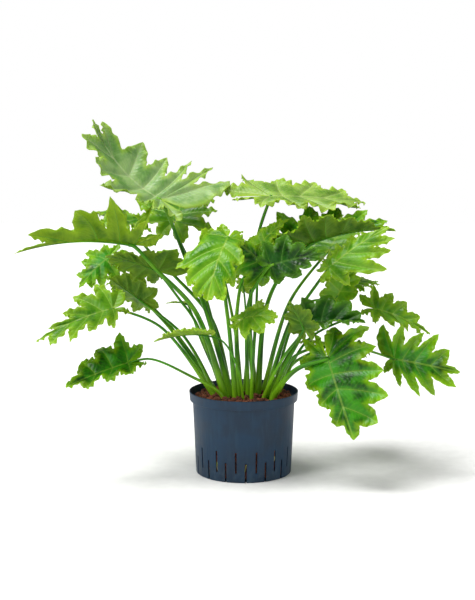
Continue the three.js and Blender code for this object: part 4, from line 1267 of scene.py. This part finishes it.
points, faces = [], []
for row, seed, share in ((LOW_SLOT, 400, 0.6), (HIGH_SLOT, 600, 0.35)):
    for i, angle in enumerate(slot_angles(row)):
        if draw(seed, i) < share:
            low = max(row["low"], 8) + 16 * draw(seed + 1, i)
            tube, sides = root_tube(angle, low, low + 16 + 12 * draw(seed + 2, i), seed + 3 * i)
            faces += [tuple(len(points) + v for v in side) for side in sides]
            points += tube
roots = face_outwards(mesh_piece("roots", np.array(points) * MM, faces, materials=[root_skin]))
roots.data.shade_smooth()
granules = join([granules, bed, roots], "loose_granules")
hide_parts("clay_granules")
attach(granules, "root")
print("granule faces:", len(granules.data.polygons))

# %% [markdown]
# ## Floor, light and camera
# The plant stands on a plain pale floor under soft studio light. The camera stands where the
# photographer's did: 3.14 m in front of the pot's axis, 0.87 m up, looking 8.5 degrees down.

# %% The floor
deselect_all()
bpy.ops.mesh.primitive_plane_add(size=12)
floor = bpy.context.object
floor.name = "studio_floor"
paper, tree, skin = new_material("white_background_paper", Roughness=0.9)
fibre = add(tree, "TexNoise", lumps(add(tree, "TexCoord", output="Object"), 30, 4))
feed(tree, skin, {"Base Color": coats(tree, linear("#f4f4f2"), [(fibre, 0.3, 0.7, 1, "#fafaf8")])})
floor.data.materials.append(paper)

ROOM_LIGHT = 0.24
world = bpy.data.worlds.new("white_room")
world.use_nodes = True
tree = world.node_tree
background = next(n for n in tree.nodes if n.type == "BACKGROUND")
# The wall behind is paper white, while the room that lights the plant is dimmer than its lamps.
seen = add(tree, "LightPath", output="Is Camera Ray")
strength = add(tree, "MapRange", between(seen, 0.0, 1.0, ROOM_LIGHT, 1.0), **SMOOTH)
feed(tree, background, {"Color": linear("#ffffff"), "Strength": strength})
bpy.context.scene.world = world
bpy.context.scene.view_settings.view_transform = "Standard"
print("floor and room")

# %% The lights
def soft_lamp(name, place, aim, softness, strength):
    """A very large, far lamp: it lights the floor evenly, out to the horizon."""
    deselect_all()
    bpy.ops.object.light_add(type="SUN", location=place)
    light = bpy.context.object
    light.name = name
    light.data.angle = math.radians(softness)
    light.data.energy = strength
    light.rotation_euler = (Vector(aim) - Vector(place)).to_track_quat("-Z", "Y").to_euler()
    return light


soft_lamp("key_above", (-0.9, 0.1, 2.9), (0, 0, 0.5), 30, 3.1)
soft_lamp("front_left", (-2.4, -1.8, 2.0), (0, 0, 0.4), 30, 1.6)
soft_lamp("right", (2.6, -1.0, 1.4), (0, 0, 0.4), 40, 0.8)
print("three lamps")

# %% The camera
PHOTO_HEIGHT, FOCAL_PIXELS = 600, 1395.7
deselect_all()
bpy.ops.object.camera_add(location=(-0.01417, -3.1395, 0.8702), rotation=(math.pi / 2 - 0.14901, 0, 0))
camera = bpy.context.object
camera.data.sensor_width = 36
camera.data.lens = FOCAL_PIXELS * camera.data.sensor_width / PHOTO_HEIGHT
camera.data.clip_start = 0.05
bpy.context.scene.camera = camera
print("lens: %.1f mm" % camera.data.lens)
